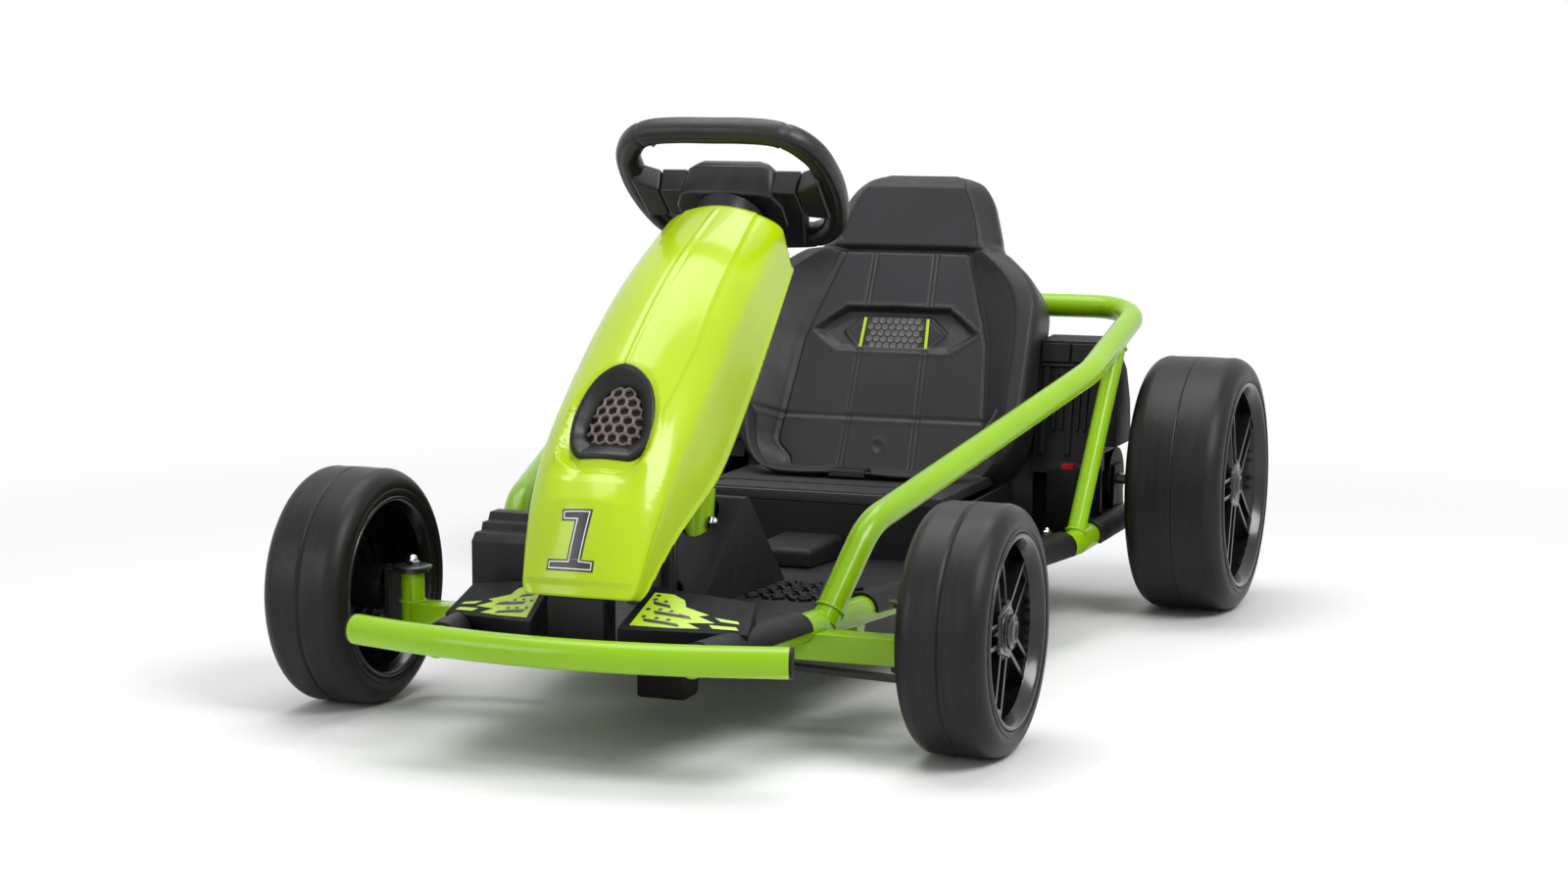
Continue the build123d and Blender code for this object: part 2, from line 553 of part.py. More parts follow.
pan_underside = [
    (PAN_REAR_X, FLOOR_Z0 - PAN_THICK),
    (FLOOR_X0, FLOOR_Z0 - PAN_THICK),
    (FLOOR_X1, floor_z(FLOOR_X1) - PAN_THICK),
    (PAN_FRONT_X, floor_z(PAN_FRONT_X) - PAN_THICK),
]
pan_half = [
    (PAN_FRONT_X, rail_y(PAN_FRONT_X)),
    (RAIL_BEND[0], RAIL_BEND[1]),
    (PAN_REAR_X, RAIL_BEND[1]),
]
with BuildPart() as floor_pan:
    with BuildSketch(Plane.XZ.offset(-RAIL_BEND[1])):
        with BuildLine():
            Polyline(*pan_underside, *[(x, z + PAN_THICK) for x, z in reversed(pan_underside)],
                     close=True)
        make_face()
    extrude(amount=2 * RAIL_BEND[1])
    with BuildSketch(Plane.XY):
        with BuildLine():
            Polyline(*pan_half, *[(x, -y) for x, y in reversed(pan_half)], close=True)
        make_face()
    extrude(amount=2 * FLOOR_Z0, mode=Mode.INTERSECT)
    for side in (1, -1):
        add(rail_cover(side, PAN_FRONT_X, PAN_REAR_X, RAIL_R + PAN_COVER))
    with BuildSketch(Plane.XZ.offset(-2 * RAIL_BEND[1])):
        with BuildLine():
            Polyline(*pan_underside, (RAIL_FRONT[0], pan_underside[-1][1]), (RAIL_FRONT[0], 0),
                     (PAN_REAR_X, 0), close=True)
        make_face()
    extrude(amount=4 * RAIL_BEND[1], mode=Mode.SUBTRACT)
    with BuildSketch(Plane.XY.offset(FLOOR_Z0)):
        with Locations(((RISER_X + RISER_REAR_X) / 2, 0)):
            Rectangle(RISER_X - RISER_REAR_X, 2 * RISER_HALF)
            Rectangle(RISER_X - RISER_REAR_X - 2 * RISER_WALL, 2 * (RISER_HALF - RISER_WALL),
                      mode=Mode.SUBTRACT)
    extrude(amount=RISER_TOP - FLOOR_Z0)
    for side in (1, -1):
        add(rail_cover(side, RAIL_FRONT[0], RAIL_REAR_X, RAIL_R + PAN_GAP), mode=Mode.SUBTRACT)
        with BuildSketch(Plane.XY):
            for window_front, window_rear in PAN_WINDOWS:
                inset = RAIL_R + PAN_COVER + 1
                with BuildLine():
                    Polyline(
                        (window_front, side * (rail_y(window_front) - inset)),
                        (window_rear, side * (rail_y(window_rear) - inset)),
                        (window_rear, side * (rail_y(window_rear) + 4 * inset)),
                        (window_front, side * (rail_y(window_front) + 4 * inset)),
                        close=True,
                    )
                make_face()
        extrude(amount=2 * FLOOR_Z0, mode=Mode.SUBTRACT)
    with BuildSketch(post_plane.offset(-2 * CROSS_R)):
        Circle(SOCKET_HOLE_R)
    extrude(amount=4 * CROSS_R, mode=Mode.SUBTRACT)
    with BuildSketch(Plane.XY):
        with Locations((LOWER_COLUMN_X, 0)):
            Circle(COLUMN_HOLE_R)
    extrude(amount=2 * FLOOR_Z0, mode=Mode.SUBTRACT)
save(floor_pan.part, "floor_pan")

# Hump round the foot of the post: a hollow wedge standing on the floor
HUMP_HALF = 36.0
HUMP_WALL = 3.0
HUMP_FRONT_X = 296.0
HUMP_REAR_X = 84.0
HUMP_RIDGE = (190.0, 189.0)
HUMP_CREST = 12.0
hump_foot_front = floor_z(HUMP_FRONT_X) + 0.3
hump_foot_rear = floor_z(HUMP_REAR_X) + 0.3


def hump_profile(wall, foot_drop):
    """Side outline of the hump, drawn in by a wall and carried down past its foot."""
    return (
        (HUMP_FRONT_X - 1.8 * wall, hump_foot_front - foot_drop),
        (HUMP_RIDGE[0], HUMP_RIDGE[1] - 1.1 * wall),
        (HUMP_RIDGE[0] - HUMP_CREST, HUMP_RIDGE[1] - 1.1 * wall),
        (HUMP_REAR_X + 1.5 * wall, hump_foot_rear - foot_drop),
    )


with BuildPart() as hump:
    with BuildSketch(Plane.XZ.offset(-HUMP_HALF)):
        with BuildLine():
            Polyline(*hump_profile(0, 0), close=True)
        make_face()
    extrude(amount=2 * HUMP_HALF)
    fillet(hump.edges().filter_by(Axis.Y).group_by(Axis.Z)[-1], 6)
    with BuildSketch(Plane.XZ.offset(HUMP_WALL - HUMP_HALF)):
        with BuildLine():
            Polyline(*hump_profile(HUMP_WALL, 1), close=True)
        make_face()
    extrude(amount=2 * (HUMP_HALF - HUMP_WALL), mode=Mode.SUBTRACT)
    with BuildSketch(post_plane):
        Circle(SOCKET_HOLE_R)
    extrude(amount=socket_long, mode=Mode.SUBTRACT)
    with BuildSketch(Plane.XY.offset(FLOOR_Z0)):
        with Locations((LOWER_COLUMN_X, 0)):
            Circle(COLUMN_HOLE_R)
    extrude(amount=FLOOR_Z0, mode=Mode.SUBTRACT)
save(hump.part, "floor_hump")

# Footplates: two wedges at the front of the floor, tilted forwards and outwards
# columns: x, y of the plate's corners on the left, rear inner, front inner, front outer, rear outer
FOOTPLATE = ((428.0, 46.0), (488.0, 40.0), (447.0, 141.0), (408.0, 133.0))
FOOTPLATE_TOP = ((430.0, 50.0, 146.0), (490.0, 40.0, 121.0), (445.0, 140.0, 117.0))
for side_name, side in SIDES:
    top_a, top_b, top_c = (Vector(x, side * y, z) for x, y, z in FOOTPLATE_TOP)
    plate_normal = (top_b - top_a).cross(top_c - top_a) * side
    with BuildPart() as footplate:
        with BuildSketch(Plane.XY.offset(floor_z(FOOTPLATE[1][0]) + 0.3)):
            with BuildLine():
                Polyline(*[(x, side * y) for x, y in FOOTPLATE], close=True)
            make_face()
        extrude(amount=FLOOR_Z0)
        split(bisect_by=Plane(origin=top_a, z_dir=plate_normal), keep=Keep.BOTTOM)
        add(rail_cover(side, RAIL_FRONT[0], RAIL_REAR_X, RAIL_R + PAN_COVER + FIT),
            mode=Mode.SUBTRACT)
    save(footplate.part, f"footplate_{side_name}")

# Pedal box and pedal on the driver's right
PEDAL_Y = -115.0
PEDAL_BOX_WIDTH = 56.0
PEDAL_WIDTH = 38.0
PEDAL_BOX_FRONT_X = 392.0
# columns: distance behind the box's front, height of the step
PEDAL_STEPS = (
    (0.0, 170.0), (7.0, 177.0), (19.0, 177.0), (22.0, 184.0), (33.0, 184.0), (37.0, 191.0), (54.0, 191.0),
)
PEDAL_BOX_DEEP = 62.0
PEDAL_GAP = 22.0
PEDAL_THICK = 7.0
PEDAL_LEAN = 26.0
PEDAL_TOP = 156.0
pedal_floor = floor_z(FLOOR_X1) + FIT
pedal_rear_x = PEDAL_BOX_FRONT_X - PEDAL_BOX_DEEP
pedal_x = pedal_rear_x - PEDAL_GAP
with BuildPart() as pedal_box:
    with BuildSketch(Plane.XZ.offset(-PEDAL_Y - PEDAL_BOX_WIDTH / 2)):
        with BuildLine():
            Polyline(
                (PEDAL_BOX_FRONT_X, pedal_floor), *[(PEDAL_BOX_FRONT_X - x, z) for x, z in PEDAL_STEPS],
                (pedal_rear_x, pedal_floor), close=True,
            )
        make_face()
    extrude(amount=PEDAL_BOX_WIDTH)
    add(rail_cover(-1, RAIL_FRONT[0], RAIL_REAR_X, RAIL_R + PAN_COVER + FIT), mode=Mode.SUBTRACT)
save(pedal_box.part, "pedal_box")
with BuildPart() as pedal:
    with BuildSketch(Plane.XZ.offset(-PEDAL_Y - PEDAL_WIDTH / 2)):
        with BuildLine():
            Polyline(
                (pedal_x - PEDAL_THICK, pedal_floor), (pedal_x, pedal_floor),
                (pedal_x + PEDAL_LEAN, PEDAL_TOP - PEDAL_THICK / 2),
                (pedal_x + PEDAL_LEAN - PEDAL_THICK, PEDAL_TOP),
                close=True,
            )
        make_face()
    extrude(amount=PEDAL_WIDTH)
    add(pedal_box.part, mode=Mode.SUBTRACT)
save(pedal.part, "pedal")

# Nose cowl: an open-bottomed shell through six cross sections, each square to its slope
# columns: x and z of the crown, slope in degrees, half width at the shoulder, half width at
# the lower edge, depth from crown to lower edge
NOSE_SECTIONS = (
    (160.0, 456.0, 29.0, 59.0, 60.0, 68.0),
    (267.0, 405.0, 31.0, 65.0, 68.0, 92.0),
    (370.0, 333.0, 35.0, 67.0, 70.0, 103.0),
    (432.0, 275.0, 50.0, 65.0, 68.0, 92.0),
    (468.0, 215.0, 64.0, 60.0, 62.0, 62.0),
    (488.0, 146.0, 80.0, 52.0, 53.0, 24.0),
)
SHOULDER_DROP = 0.36
CROWN_SHARE = 0.55
CROWN_DROP = 0.28
TURN_SHARE = 0.87
TURN_DROP = 0.62


def nose_outline(row, inset, extra_depth):
    """Points of one cross section on its own plane: x across, y out of the crown."""
    _, _, _, shoulder, foot, depth = row
    shoulder -= inset
    foot -= inset
    drop = SHOULDER_DROP * (depth + extra_depth)
    return {
        "foot": (foot, -depth - extra_depth),
        "shoulder": (shoulder, -drop - inset),
        "turn": (TURN_SHARE * shoulder, -TURN_DROP * drop - inset),
        "crown_edge": (CROWN_SHARE * shoulder, -CROWN_DROP * drop - inset),
        "crown": (0, -inset),
    }


def nose_loft(inset, extra_depth, nose_rows):
    """Solid through the cross sections, drawn in by an inset."""
    with BuildPart() as body:
        for row in nose_rows:
            slope = math.radians(row[2])
            plane = Plane(origin=(row[0], 0, row[1]), x_dir=(0, 1, 0),
                          z_dir=(math.cos(slope), 0, -math.sin(slope)))
            p = nose_outline(row, inset, extra_depth)
            flip = {key: (-x, y) for key, (x, y) in p.items()}
            with BuildSketch(plane):
                with BuildLine():
                    Line(flip["foot"], p["foot"])
                    Line(p["foot"], p["shoulder"])
                    ThreePointArc(p["shoulder"], p["turn"], p["crown_edge"])
                    ThreePointArc(p["crown_edge"], p["crown"], flip["crown_edge"])
                    ThreePointArc(flip["crown_edge"], flip["turn"], flip["shoulder"])
                    Line(flip["shoulder"], flip["foot"])
                make_face()
        loft()
    return body.part


INTAKE_CENTRE = (395.0, 0.0, 293.0)
INTAKE_SLOPE = 59.0
INTAKE_HALF = 37.0
INTAKE_UP = 44.0
INTAKE_DOWN = 45.0
INTAKE_SIDE_DOWN = 12.0
INTAKE_FOOT_HALF = 27.0
INTAKE_FRAME = 8.0
INTAKE_DEEP = 16.0
INTAKE_PROUD = 3.0
GRILLE_THICK = 2.0
HEX_R = 5.6
HEX_BAR = 1.6
intake_slope = math.radians(INTAKE_SLOPE)
INTAKE_OUT = (math.sin(intake_slope), 0.0, math.cos(intake_slope))


def intake_plane(height):
    """Plane of the intake, height out from its centre, local y up the nose."""
    return Plane(origin=axis_point(INTAKE_CENTRE, INTAKE_OUT, height), x_dir=(0, 1, 0),
                 z_dir=INTAKE_OUT)


def intake_points(inset):
    """Corner points of the D: flat foot, upright sides, arched top."""
    half = INTAKE_HALF - inset
    foot = INTAKE_FOOT_HALF - inset
    return (
        (-foot, -INTAKE_DOWN + inset), (foot, -INTAKE_DOWN + inset),
        (half, -INTAKE_SIDE_DOWN), (0, INTAKE_UP - inset),
    )


with BuildPart() as nose_cowl:
    add(nose_loft(0, 0, NOSE_SECTIONS))
    add(nose_loft(NOSE_WALL, 8.0, NOSE_SECTIONS), mode=Mode.SUBTRACT)
    with BuildSketch(intake_plane(-INTAKE_DEEP)):
        with BuildLine():
            p0, p1, p2, p3 = intake_points(0)
            Polyline((-p2[0], p2[1]), p0, p1, p2)
            ThreePointArc(p2, p3, (-p2[0], p2[1]))
        make_face()
    extrude(amount=4 * INTAKE_DEEP, mode=Mode.SUBTRACT)
save(nose_cowl.part, "nose_cowl")

with BuildPart() as intake_frame:
    for inset, mode in ((FIT, Mode.ADD), (INTAKE_FRAME, Mode.SUBTRACT)):
        with BuildSketch(intake_plane(-INTAKE_DEEP)):
            with BuildLine():
                p0, p1, p2, p3 = intake_points(inset)
                Polyline((-p2[0], p2[1]), p0, p1, p2)
                ThreePointArc(p2, p3, (-p2[0], p2[1]))
            make_face()
        extrude(amount=INTAKE_DEEP + INTAKE_PROUD, mode=mode)
save(intake_frame.part, "intake_frame")

with BuildPart() as intake_grille:
    with BuildSketch(intake_plane(-INTAKE_DEEP)):
        with BuildLine():
            p0, p1, p2, p3 = intake_points(INTAKE_FRAME + FIT)
            Polyline((-p2[0], p2[1]), p0, p1, p2)
            ThreePointArc(p2, p3, (-p2[0], p2[1]))
        make_face()
        with HexLocations(HEX_R + HEX_BAR / 2, 4, 5, major_radius=False):
            RegularPolygon(HEX_R, 6, major_radius=False, mode=Mode.SUBTRACT)
    extrude(amount=GRILLE_THICK)
save(intake_grille.part, "intake_grille")

# Collar between the nose and the steering wheel, seated on the column's bearing
COLLAR_TOP_R = 32.0
COLLAR_FOOT_R = 20.0
COLLAR_TOP = -15.0
collar_foot = -(bearing_at - BEARING_LONG / 2 - FIT)
with BuildPart() as nose_collar:
    with BuildSketch(wheel_face(collar_foot)):
        Circle(COLLAR_FOOT_R)
    with BuildSketch(wheel_face(COLLAR_TOP)):
        Circle(COLLAR_TOP_R)
    loft()
    with BuildSketch(wheel_face(collar_foot)):
        Circle(COLUMN_R + 1)
    extrude(amount=COLLAR_TOP - collar_foot, mode=Mode.SUBTRACT)
    add(nose_cowl.part, mode=Mode.SUBTRACT)
save(nose_collar.part, "nose_collar")

# Block on the floor that carries the tip of the nose
MOUNT_X0 = 458.0
MOUNT_X1 = 484.0
MOUNT_HALF = 26.0
with BuildPart() as nose_mount:
    with BuildSketch(Plane.XY.offset(floor_z(MOUNT_X0) + 0.3)):
        with Locations(((MOUNT_X0 + MOUNT_X1) / 2, 0)):
            Rectangle(MOUNT_X1 - MOUNT_X0, 2 * MOUNT_HALF)
    extrude(amount=NOSE_SECTIONS[-1][1] - floor_z(MOUNT_X0))
    add(nose_loft(-FIT, 0, NOSE_SECTIONS), mode=Mode.SUBTRACT)
save(nose_mount.part, "nose_mount")

# Bucket seat: a back shell with side bolsters and headrest, a cushion, and panels on them
BACK_FOOT = (-286.5, 0.0, 146.0)
BACK_LEAN = 25.5
BACK_THICK = 34.0
BOLSTER_RISE = 32.0
CUSHION_TOP = 152.0
CUSHION_HALF = 136.0
PANEL_THICK = 5.0
back_lean = math.radians(BACK_LEAN)
BACK_OUT = (math.cos(back_lean), 0.0, math.sin(back_lean))
# columns: half width, height up the back
BACK_OUTLINE = (
    (150.0, -6.0), (165.0, 34.0), (165.0, 192.0), (150.0, 222.0), (107.0, 264.0), (98.0, 284.0),
    (85.0, 325.0), (72.0, 344.0), (48.0, 354.0),
)
# columns: outer edge of the side rim, foot of its flank by the panel, inner edge of the rim
BOLSTER_ROWS = (
    ((150.0, -6.0), (116.0, -6.0), (132.0, -6.0)),
    ((165.0, 34.0), (117.0, 34.0), (143.0, 34.0)),
    ((165.0, 192.0), (96.0, 178.0), (135.0, 192.0)),
    ((150.0, 222.0), (84.0, 214.0), (122.0, 214.0)),
    ((107.0, 262.0), (74.0, 250.0), (82.0, 244.0)),
)
WING_Y = 152.0
WING_THICK = 24.0
WING_OUTLINE = (
    (-300.0, 142.0), (-172.0, 142.0), (-178.0, 158.0), (-232.0, 186.0), (-262.0, 232.0), (-300.0, 232.0),
)
PANEL_OUTLINE = ((98.0, 6.0), (98.0, 14.0), (115.0, 30.0), (114.0, 54.0), (103.0, 149.0), (72.0, 254.0))
HEADREST_OUTLINE = ((69.0, 262.0), (76.0, 271.0), (60.0, 322.0), (49.0, 332.0))


def back_plane(height):
    """Plane of the seat back, height in front of its face, local y up the back."""
    return Plane(origin=axis_point(BACK_FOOT, BACK_OUT, height), x_dir=(0, 1, 0), z_dir=BACK_OUT)


def both_sides(half_outline):
    """A closed outline from one half's points."""
    return [*half_outline, *[(-x, y) for x, y in reversed(half_outline)]]


with BuildPart() as seat_shell:
    with BuildSketch(back_plane(-BACK_THICK)):
        with BuildLine():
            Polyline(*both_sides(BACK_OUTLINE), close=True)
        make_face()
    extrude(amount=BACK_THICK)
    for side in (1, -1):
        for bolster_height, inner_column in ((-FIT, 1), (BOLSTER_RISE, 2)):
            with BuildSketch(back_plane(bolster_height)):
                with BuildLine():
                    Polyline(*[(side * row[0][0], row[0][1]) for row in BOLSTER_ROWS],
                             *[(side * row[inner_column][0], row[inner_column][1])
                               for row in reversed(BOLSTER_ROWS)],
                             close=True)
                make_face()
        loft(ruled=True)
        with BuildSketch(Plane.XZ.offset(-side * WING_Y - WING_THICK / 2)):
            with BuildLine():
                Polyline(*WING_OUTLINE, close=True)
            make_face()
        extrude(amount=WING_THICK)
    split(bisect_by=Plane.XY.offset(RISER_TOP + FIT), keep=Keep.TOP)
save(seat_shell.part, "seat_shell")

with BuildPart() as seat_cushion:
    with BuildSketch(Plane.XY.offset(RISER_TOP + FIT)):
        with Locations(((RISER_X - RISER_WALL + RISER_REAR_X) / 2, 0)):
            Rectangle(RISER_X - RISER_WALL - RISER_REAR_X, 2 * CUSHION_HALF)
    extrude(amount=CUSHION_TOP - RISER_TOP - FIT)
    add(seat_shell.part, mode=Mode.SUBTRACT)
save(seat_cushion.part, "seat_cushion")

with BuildPart() as back_panel:
    with BuildSketch(back_plane(FIT)):
        with BuildLine():
            Polyline(*both_sides(PANEL_OUTLINE), close=True)
        make_face()
    extrude(amount=PANEL_THICK)
    split(bisect_by=Plane.XY.offset(CUSHION_TOP + 2 * FIT), keep=Keep.TOP)
    add(seat_shell.part, mode=Mode.SUBTRACT)
save(back_panel.part, "seat_back_panel")
with BuildPart() as headrest_panel:
    with BuildSketch(back_plane(FIT)):
        with BuildLine():
            Polyline(*both_sides(HEADREST_OUTLINE), close=True)
        make_face()
    extrude(amount=PANEL_THICK)
save(headrest_panel.part, "headrest_panel")
PLATE_HALF = 54.0
PLATE_TALL = 30.0
PLATE_UP = 162.0
PLATE_THICK = 2.0
with BuildPart() as seat_plate:
    with BuildSketch(back_plane(PANEL_THICK + 2 * FIT)):
        with BuildLine():
            Polyline((-PLATE_HALF, PLATE_UP), (-PLATE_HALF + 16, PLATE_UP - PLATE_TALL / 2),
                     (PLATE_HALF - 16, PLATE_UP - PLATE_TALL / 2), (PLATE_HALF, PLATE_UP),
                     (PLATE_HALF - 16, PLATE_UP + PLATE_TALL / 2),
                     (-PLATE_HALF + 16, PLATE_UP + PLATE_TALL / 2), close=True)
        make_face()
    extrude(amount=PLATE_THICK)
save(seat_plate.part, "seat_plate")

# Lap belt: two straps from the sides of the seat to a buckle in the middle
BELT_X = -205.0
BELT_WIDE = 28.0
BELT_THICK = 2.0
BUCKLE_HALF = 22.0
belt_z = CUSHION_TOP + FIT
for side_name, side in SIDES:
    with BuildPart() as belt:
        with BuildSketch(Plane.YZ.offset(BELT_X - BELT_WIDE / 2)):
            with BuildLine():
                Polyline(
                    (side * BUCKLE_HALF, belt_z), (side * 118, belt_z), (side * 134, belt_z + 22),
                    (side * 134, belt_z + 22 + BELT_THICK), (side * 132, belt_z + 24),
                    (side * 116, belt_z + BELT_THICK), (side * BUCKLE_HALF, belt_z + BELT_THICK),
                    close=True,
                )
            make_face()
        extrude(amount=BELT_WIDE)
        add(seat_shell.part, mode=Mode.SUBTRACT)
    save(belt.part, f"belt_{side_name}")
with BuildPart() as buckle:
    with BuildSketch(Plane.XY.offset(belt_z)):
        with Locations((BELT_X, 0)):
            RectangleRounded(BELT_WIDE + 6, 2 * BUCKLE_HALF, 5)
    extrude(amount=10)
save(buckle.part, "belt_buckle")

# Box on the floor between the hump and the seat
BOX_FRONT_X = 6.0
BOX_TOP = 111.0
BOX_HALF = 33.0
box_rear_x = RISER_X + FIT
with BuildPart() as floor_box:
    with BuildSketch(Plane.XZ.offset(-BOX_HALF)):
        with BuildLine():
            Polyline((box_rear_x, FLOOR_Z0 + FIT), (BOX_FRONT_X, floor_z(BOX_FRONT_X) + FIT),
                     (BOX_FRONT_X, BOX_TOP), (box_rear_x, BOX_TOP), close=True)
        make_face()
    extrude(amount=2 * BOX_HALF)
    fillet(floor_box.edges().group_by(Axis.Z)[-1], 6)
save(floor_box.part, "floor_box")

# Battery under the seat cushion
BATTERY_X = -190.0
BATTERY_LONG = 98.0
BATTERY_WIDE = 151.0
BATTERY_CLEAR = 2.0
with BuildPart() as battery:
    with BuildSketch(Plane.XY.offset(FLOOR_Z0 + FIT)):
        with Locations((BATTERY_X, 0)):
            Rectangle(BATTERY_LONG, BATTERY_WIDE)
    extrude(amount=RISER_TOP - FLOOR_Z0 - BATTERY_CLEAR)
save(battery.part, "battery_block")

# Rear axle, and a gearbox beside each rear wheel on its bracket over the rail
BRACKET_THICK = 5.0
BRACKET_FOOT_HALF = 24.0
BRACKET_TOP_HALF = 16.0
GEARBOX_R = 34.0
GEARBOX_IN = 166.0
rear_axle_half = REAR_WHEEL["half_track"] + 24.0
with BuildPart() as rear_axle:
    with BuildSketch(Plane(origin=(REAR_AXLE_X, -rear_axle_half, REAR_AXLE_Z), z_dir=(0, 1, 0))):
        Circle(AXLE_R)
    extrude(amount=2 * rear_axle_half)
save(rear_axle.part, "rear_axle")
for side_name, side in SIDES:
    with BuildPart() as gearbox:
        with BuildSketch(Plane.XZ.offset(-side * RAIL_BEND[1] - BRACKET_THICK / 2)):
            with BuildLine():
                Polyline(
                    (REAR_AXLE_X - BRACKET_FOOT_HALF, RAIL_BEND[2]),
                    (REAR_AXLE_X + BRACKET_FOOT_HALF, RAIL_BEND[2]),
                    (REAR_AXLE_X + BRACKET_TOP_HALF, REAR_AXLE_Z + BRACKET_TOP_HALF),
                    (REAR_AXLE_X - BRACKET_TOP_HALF, REAR_AXLE_Z + BRACKET_TOP_HALF),
                    close=True,
                )
            make_face()
        extrude(amount=BRACKET_THICK)
        with BuildSketch(Plane(origin=(REAR_AXLE_X, side * GEARBOX_IN, REAR_AXLE_Z),
                               x_dir=(1, 0, 0), z_dir=(0, side, 0))):
            Circle(GEARBOX_R)
        extrude(amount=RAIL_BEND[1] - GEARBOX_IN)
        add(rear_axle.part, mode=Mode.SUBTRACT)
        add(rail_cover(side, RAIL_FRONT[0], RAIL_REAR_X, RAIL_R), mode=Mode.SUBTRACT)
        add(floor_pan.part, mode=Mode.SUBTRACT)
    save(gearbox.part, f"gearbox_{side_name}")

# Side pods behind the seat: ribbed body, shelf with a rounded drum under it, bulge by the wheel
POD_IN = 165.5
POD_OUT = REAR_INNER_Y - 38.25
POD_FOOT = REAR_AXLE_Z + GEARBOX_R + FIT
# columns of the three outlines below: x ahead of the rear axle, height
POD_OUTLINE = (
    (91.5, 152.0), (84.5, 166.0), (57.5, 290.0), (7.5, 292.0), (-10.5, 262.0),
    (-10.5, POD_FOOT), (53.5, POD_FOOT), (53.5, 152.0),
)
BULGE_OUT = REAR_INNER_Y - 24.25
BULGE_OUTLINE = (
    (59.5, 178.0), (49.5, 252.0), (31.5, 270.0), (15.5, 258.0), (-0.5, 222.0), (-4.5, 178.0),
)
DRUM_X = REAR_AXLE_X + 79.5
DRUM_Y = 213.5
DRUM_R = 26.0
DRUM_IN = 187.0
DRUM_TOP = 158.0
SWITCH_POINT = (DRUM_X + 17.0, 208.0)
SWITCH_SIZE = (10.0, 12.0, 5.0)
for side_name, side in SIDES:
    with BuildPart() as pod:
        with BuildSketch(Plane.XZ.offset(-side * (POD_IN + POD_OUT) / 2 - (POD_OUT - POD_IN) / 2)):
            with BuildLine():
                Polyline(*[(REAR_AXLE_X + x, z) for x, z in POD_OUTLINE], close=True)
            make_face()
        extrude(amount=POD_OUT - POD_IN)
        with BuildSketch(Plane.XZ.offset(-side * (POD_OUT + BULGE_OUT) / 2 - (BULGE_OUT - POD_OUT) / 2)):
            with BuildLine():
                Polyline(*[(REAR_AXLE_X + x, z) for x, z in BULGE_OUTLINE], close=True)
            make_face()
        extrude(amount=BULGE_OUT - POD_OUT)
        with BuildSketch(Plane.XY.offset(FLOOR_Z0 + FIT)):
            with Locations((DRUM_X, side * DRUM_Y)):
                Circle(DRUM_R)
            with Locations((DRUM_X, side * (DRUM_IN + DRUM_Y) / 2)):
                Rectangle(2 * DRUM_R, DRUM_Y - DRUM_IN)
        extrude(amount=DRUM_TOP - FLOOR_Z0 - FIT)
        add(rail_cover(side, RAIL_FRONT[0], RAIL_REAR_X, RAIL_R + PAN_COVER + FIT), mode=Mode.SUBTRACT)
    save(pod.part, f"side_pod_{side_name}")
with BuildPart() as power_switch:
    with BuildSketch(Plane.XY.offset(DRUM_TOP)):
        with Locations(SWITCH_POINT):
            Rectangle(SWITCH_SIZE[0], SWITCH_SIZE[1])
    extrude(amount=SWITCH_SIZE[2])
save(power_switch.part, "power_switch")

# Housing over the rear axle between the pods
HOUSING_HALF = 165.0
HOUSING_OUTLINE = (
    (82.5, FLOOR_Z0 + FIT), (82.5, 138.0), (12.5, 284.0), (-45.5, 284.0), (-65.5, 200.0),
    (-65.5, 112.0), (-9.5, 112.0), (-9.5, FLOOR_Z0 + FIT),
)
with BuildPart() as rear_housing:
    with BuildSketch(Plane.XZ.offset(-HOUSING_HALF)):
        with BuildLine():
            Polyline(*[(REAR_AXLE_X + x, z) for x, z in HOUSING_OUTLINE], close=True)
        make_face()
    extrude(amount=2 * HOUSING_HALF)
    add(rear_axle.part, mode=Mode.SUBTRACT)
save(rear_housing.part, "rear_housing")
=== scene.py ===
"""Looks of the electric drift kart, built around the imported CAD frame. Metres, +X forward, +Z up."""
import math

import bpy
import bmesh
import numpy as np
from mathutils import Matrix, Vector


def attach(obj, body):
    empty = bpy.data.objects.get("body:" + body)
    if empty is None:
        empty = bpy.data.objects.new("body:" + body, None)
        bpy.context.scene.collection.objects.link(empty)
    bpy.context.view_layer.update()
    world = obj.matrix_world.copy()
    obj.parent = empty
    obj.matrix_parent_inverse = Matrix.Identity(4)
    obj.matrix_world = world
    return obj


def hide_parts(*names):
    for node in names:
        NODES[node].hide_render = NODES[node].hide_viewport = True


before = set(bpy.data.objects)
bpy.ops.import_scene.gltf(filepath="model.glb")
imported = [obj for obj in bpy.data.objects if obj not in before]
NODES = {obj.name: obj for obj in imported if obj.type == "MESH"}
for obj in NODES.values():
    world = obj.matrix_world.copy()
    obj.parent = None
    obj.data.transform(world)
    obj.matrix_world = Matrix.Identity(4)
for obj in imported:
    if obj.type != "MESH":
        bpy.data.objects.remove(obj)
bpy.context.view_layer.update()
scene = bpy.context.scene
MM = 0.001
SIDES = (("left", 1), ("right", -1))
UP = (0, 0, 1)


# Camera, fitted to the photograph
CAMERA_AT = Vector((2.6802, 1.0220, 0.6002))
YAW = math.radians(180 + 20.81)
PITCH = math.radians(-7.613)
camera_data = bpy.data.cameras.new("camera")
camera_data.lens = 67.29
camera_data.sensor_width = 36
camera_data.sensor_fit = "HORIZONTAL"
camera_data.clip_end = 50
camera = bpy.data.objects.new("camera", camera_data)
look = Vector((math.cos(YAW) * math.cos(PITCH), math.sin(YAW) * math.cos(PITCH), math.sin(PITCH)))
camera.location = CAMERA_AT
camera.rotation_euler = look.to_track_quat("-Z", "Y").to_euler()
scene.collection.objects.link(camera)
scene.camera = camera
scene.view_settings.view_transform = "Standard"


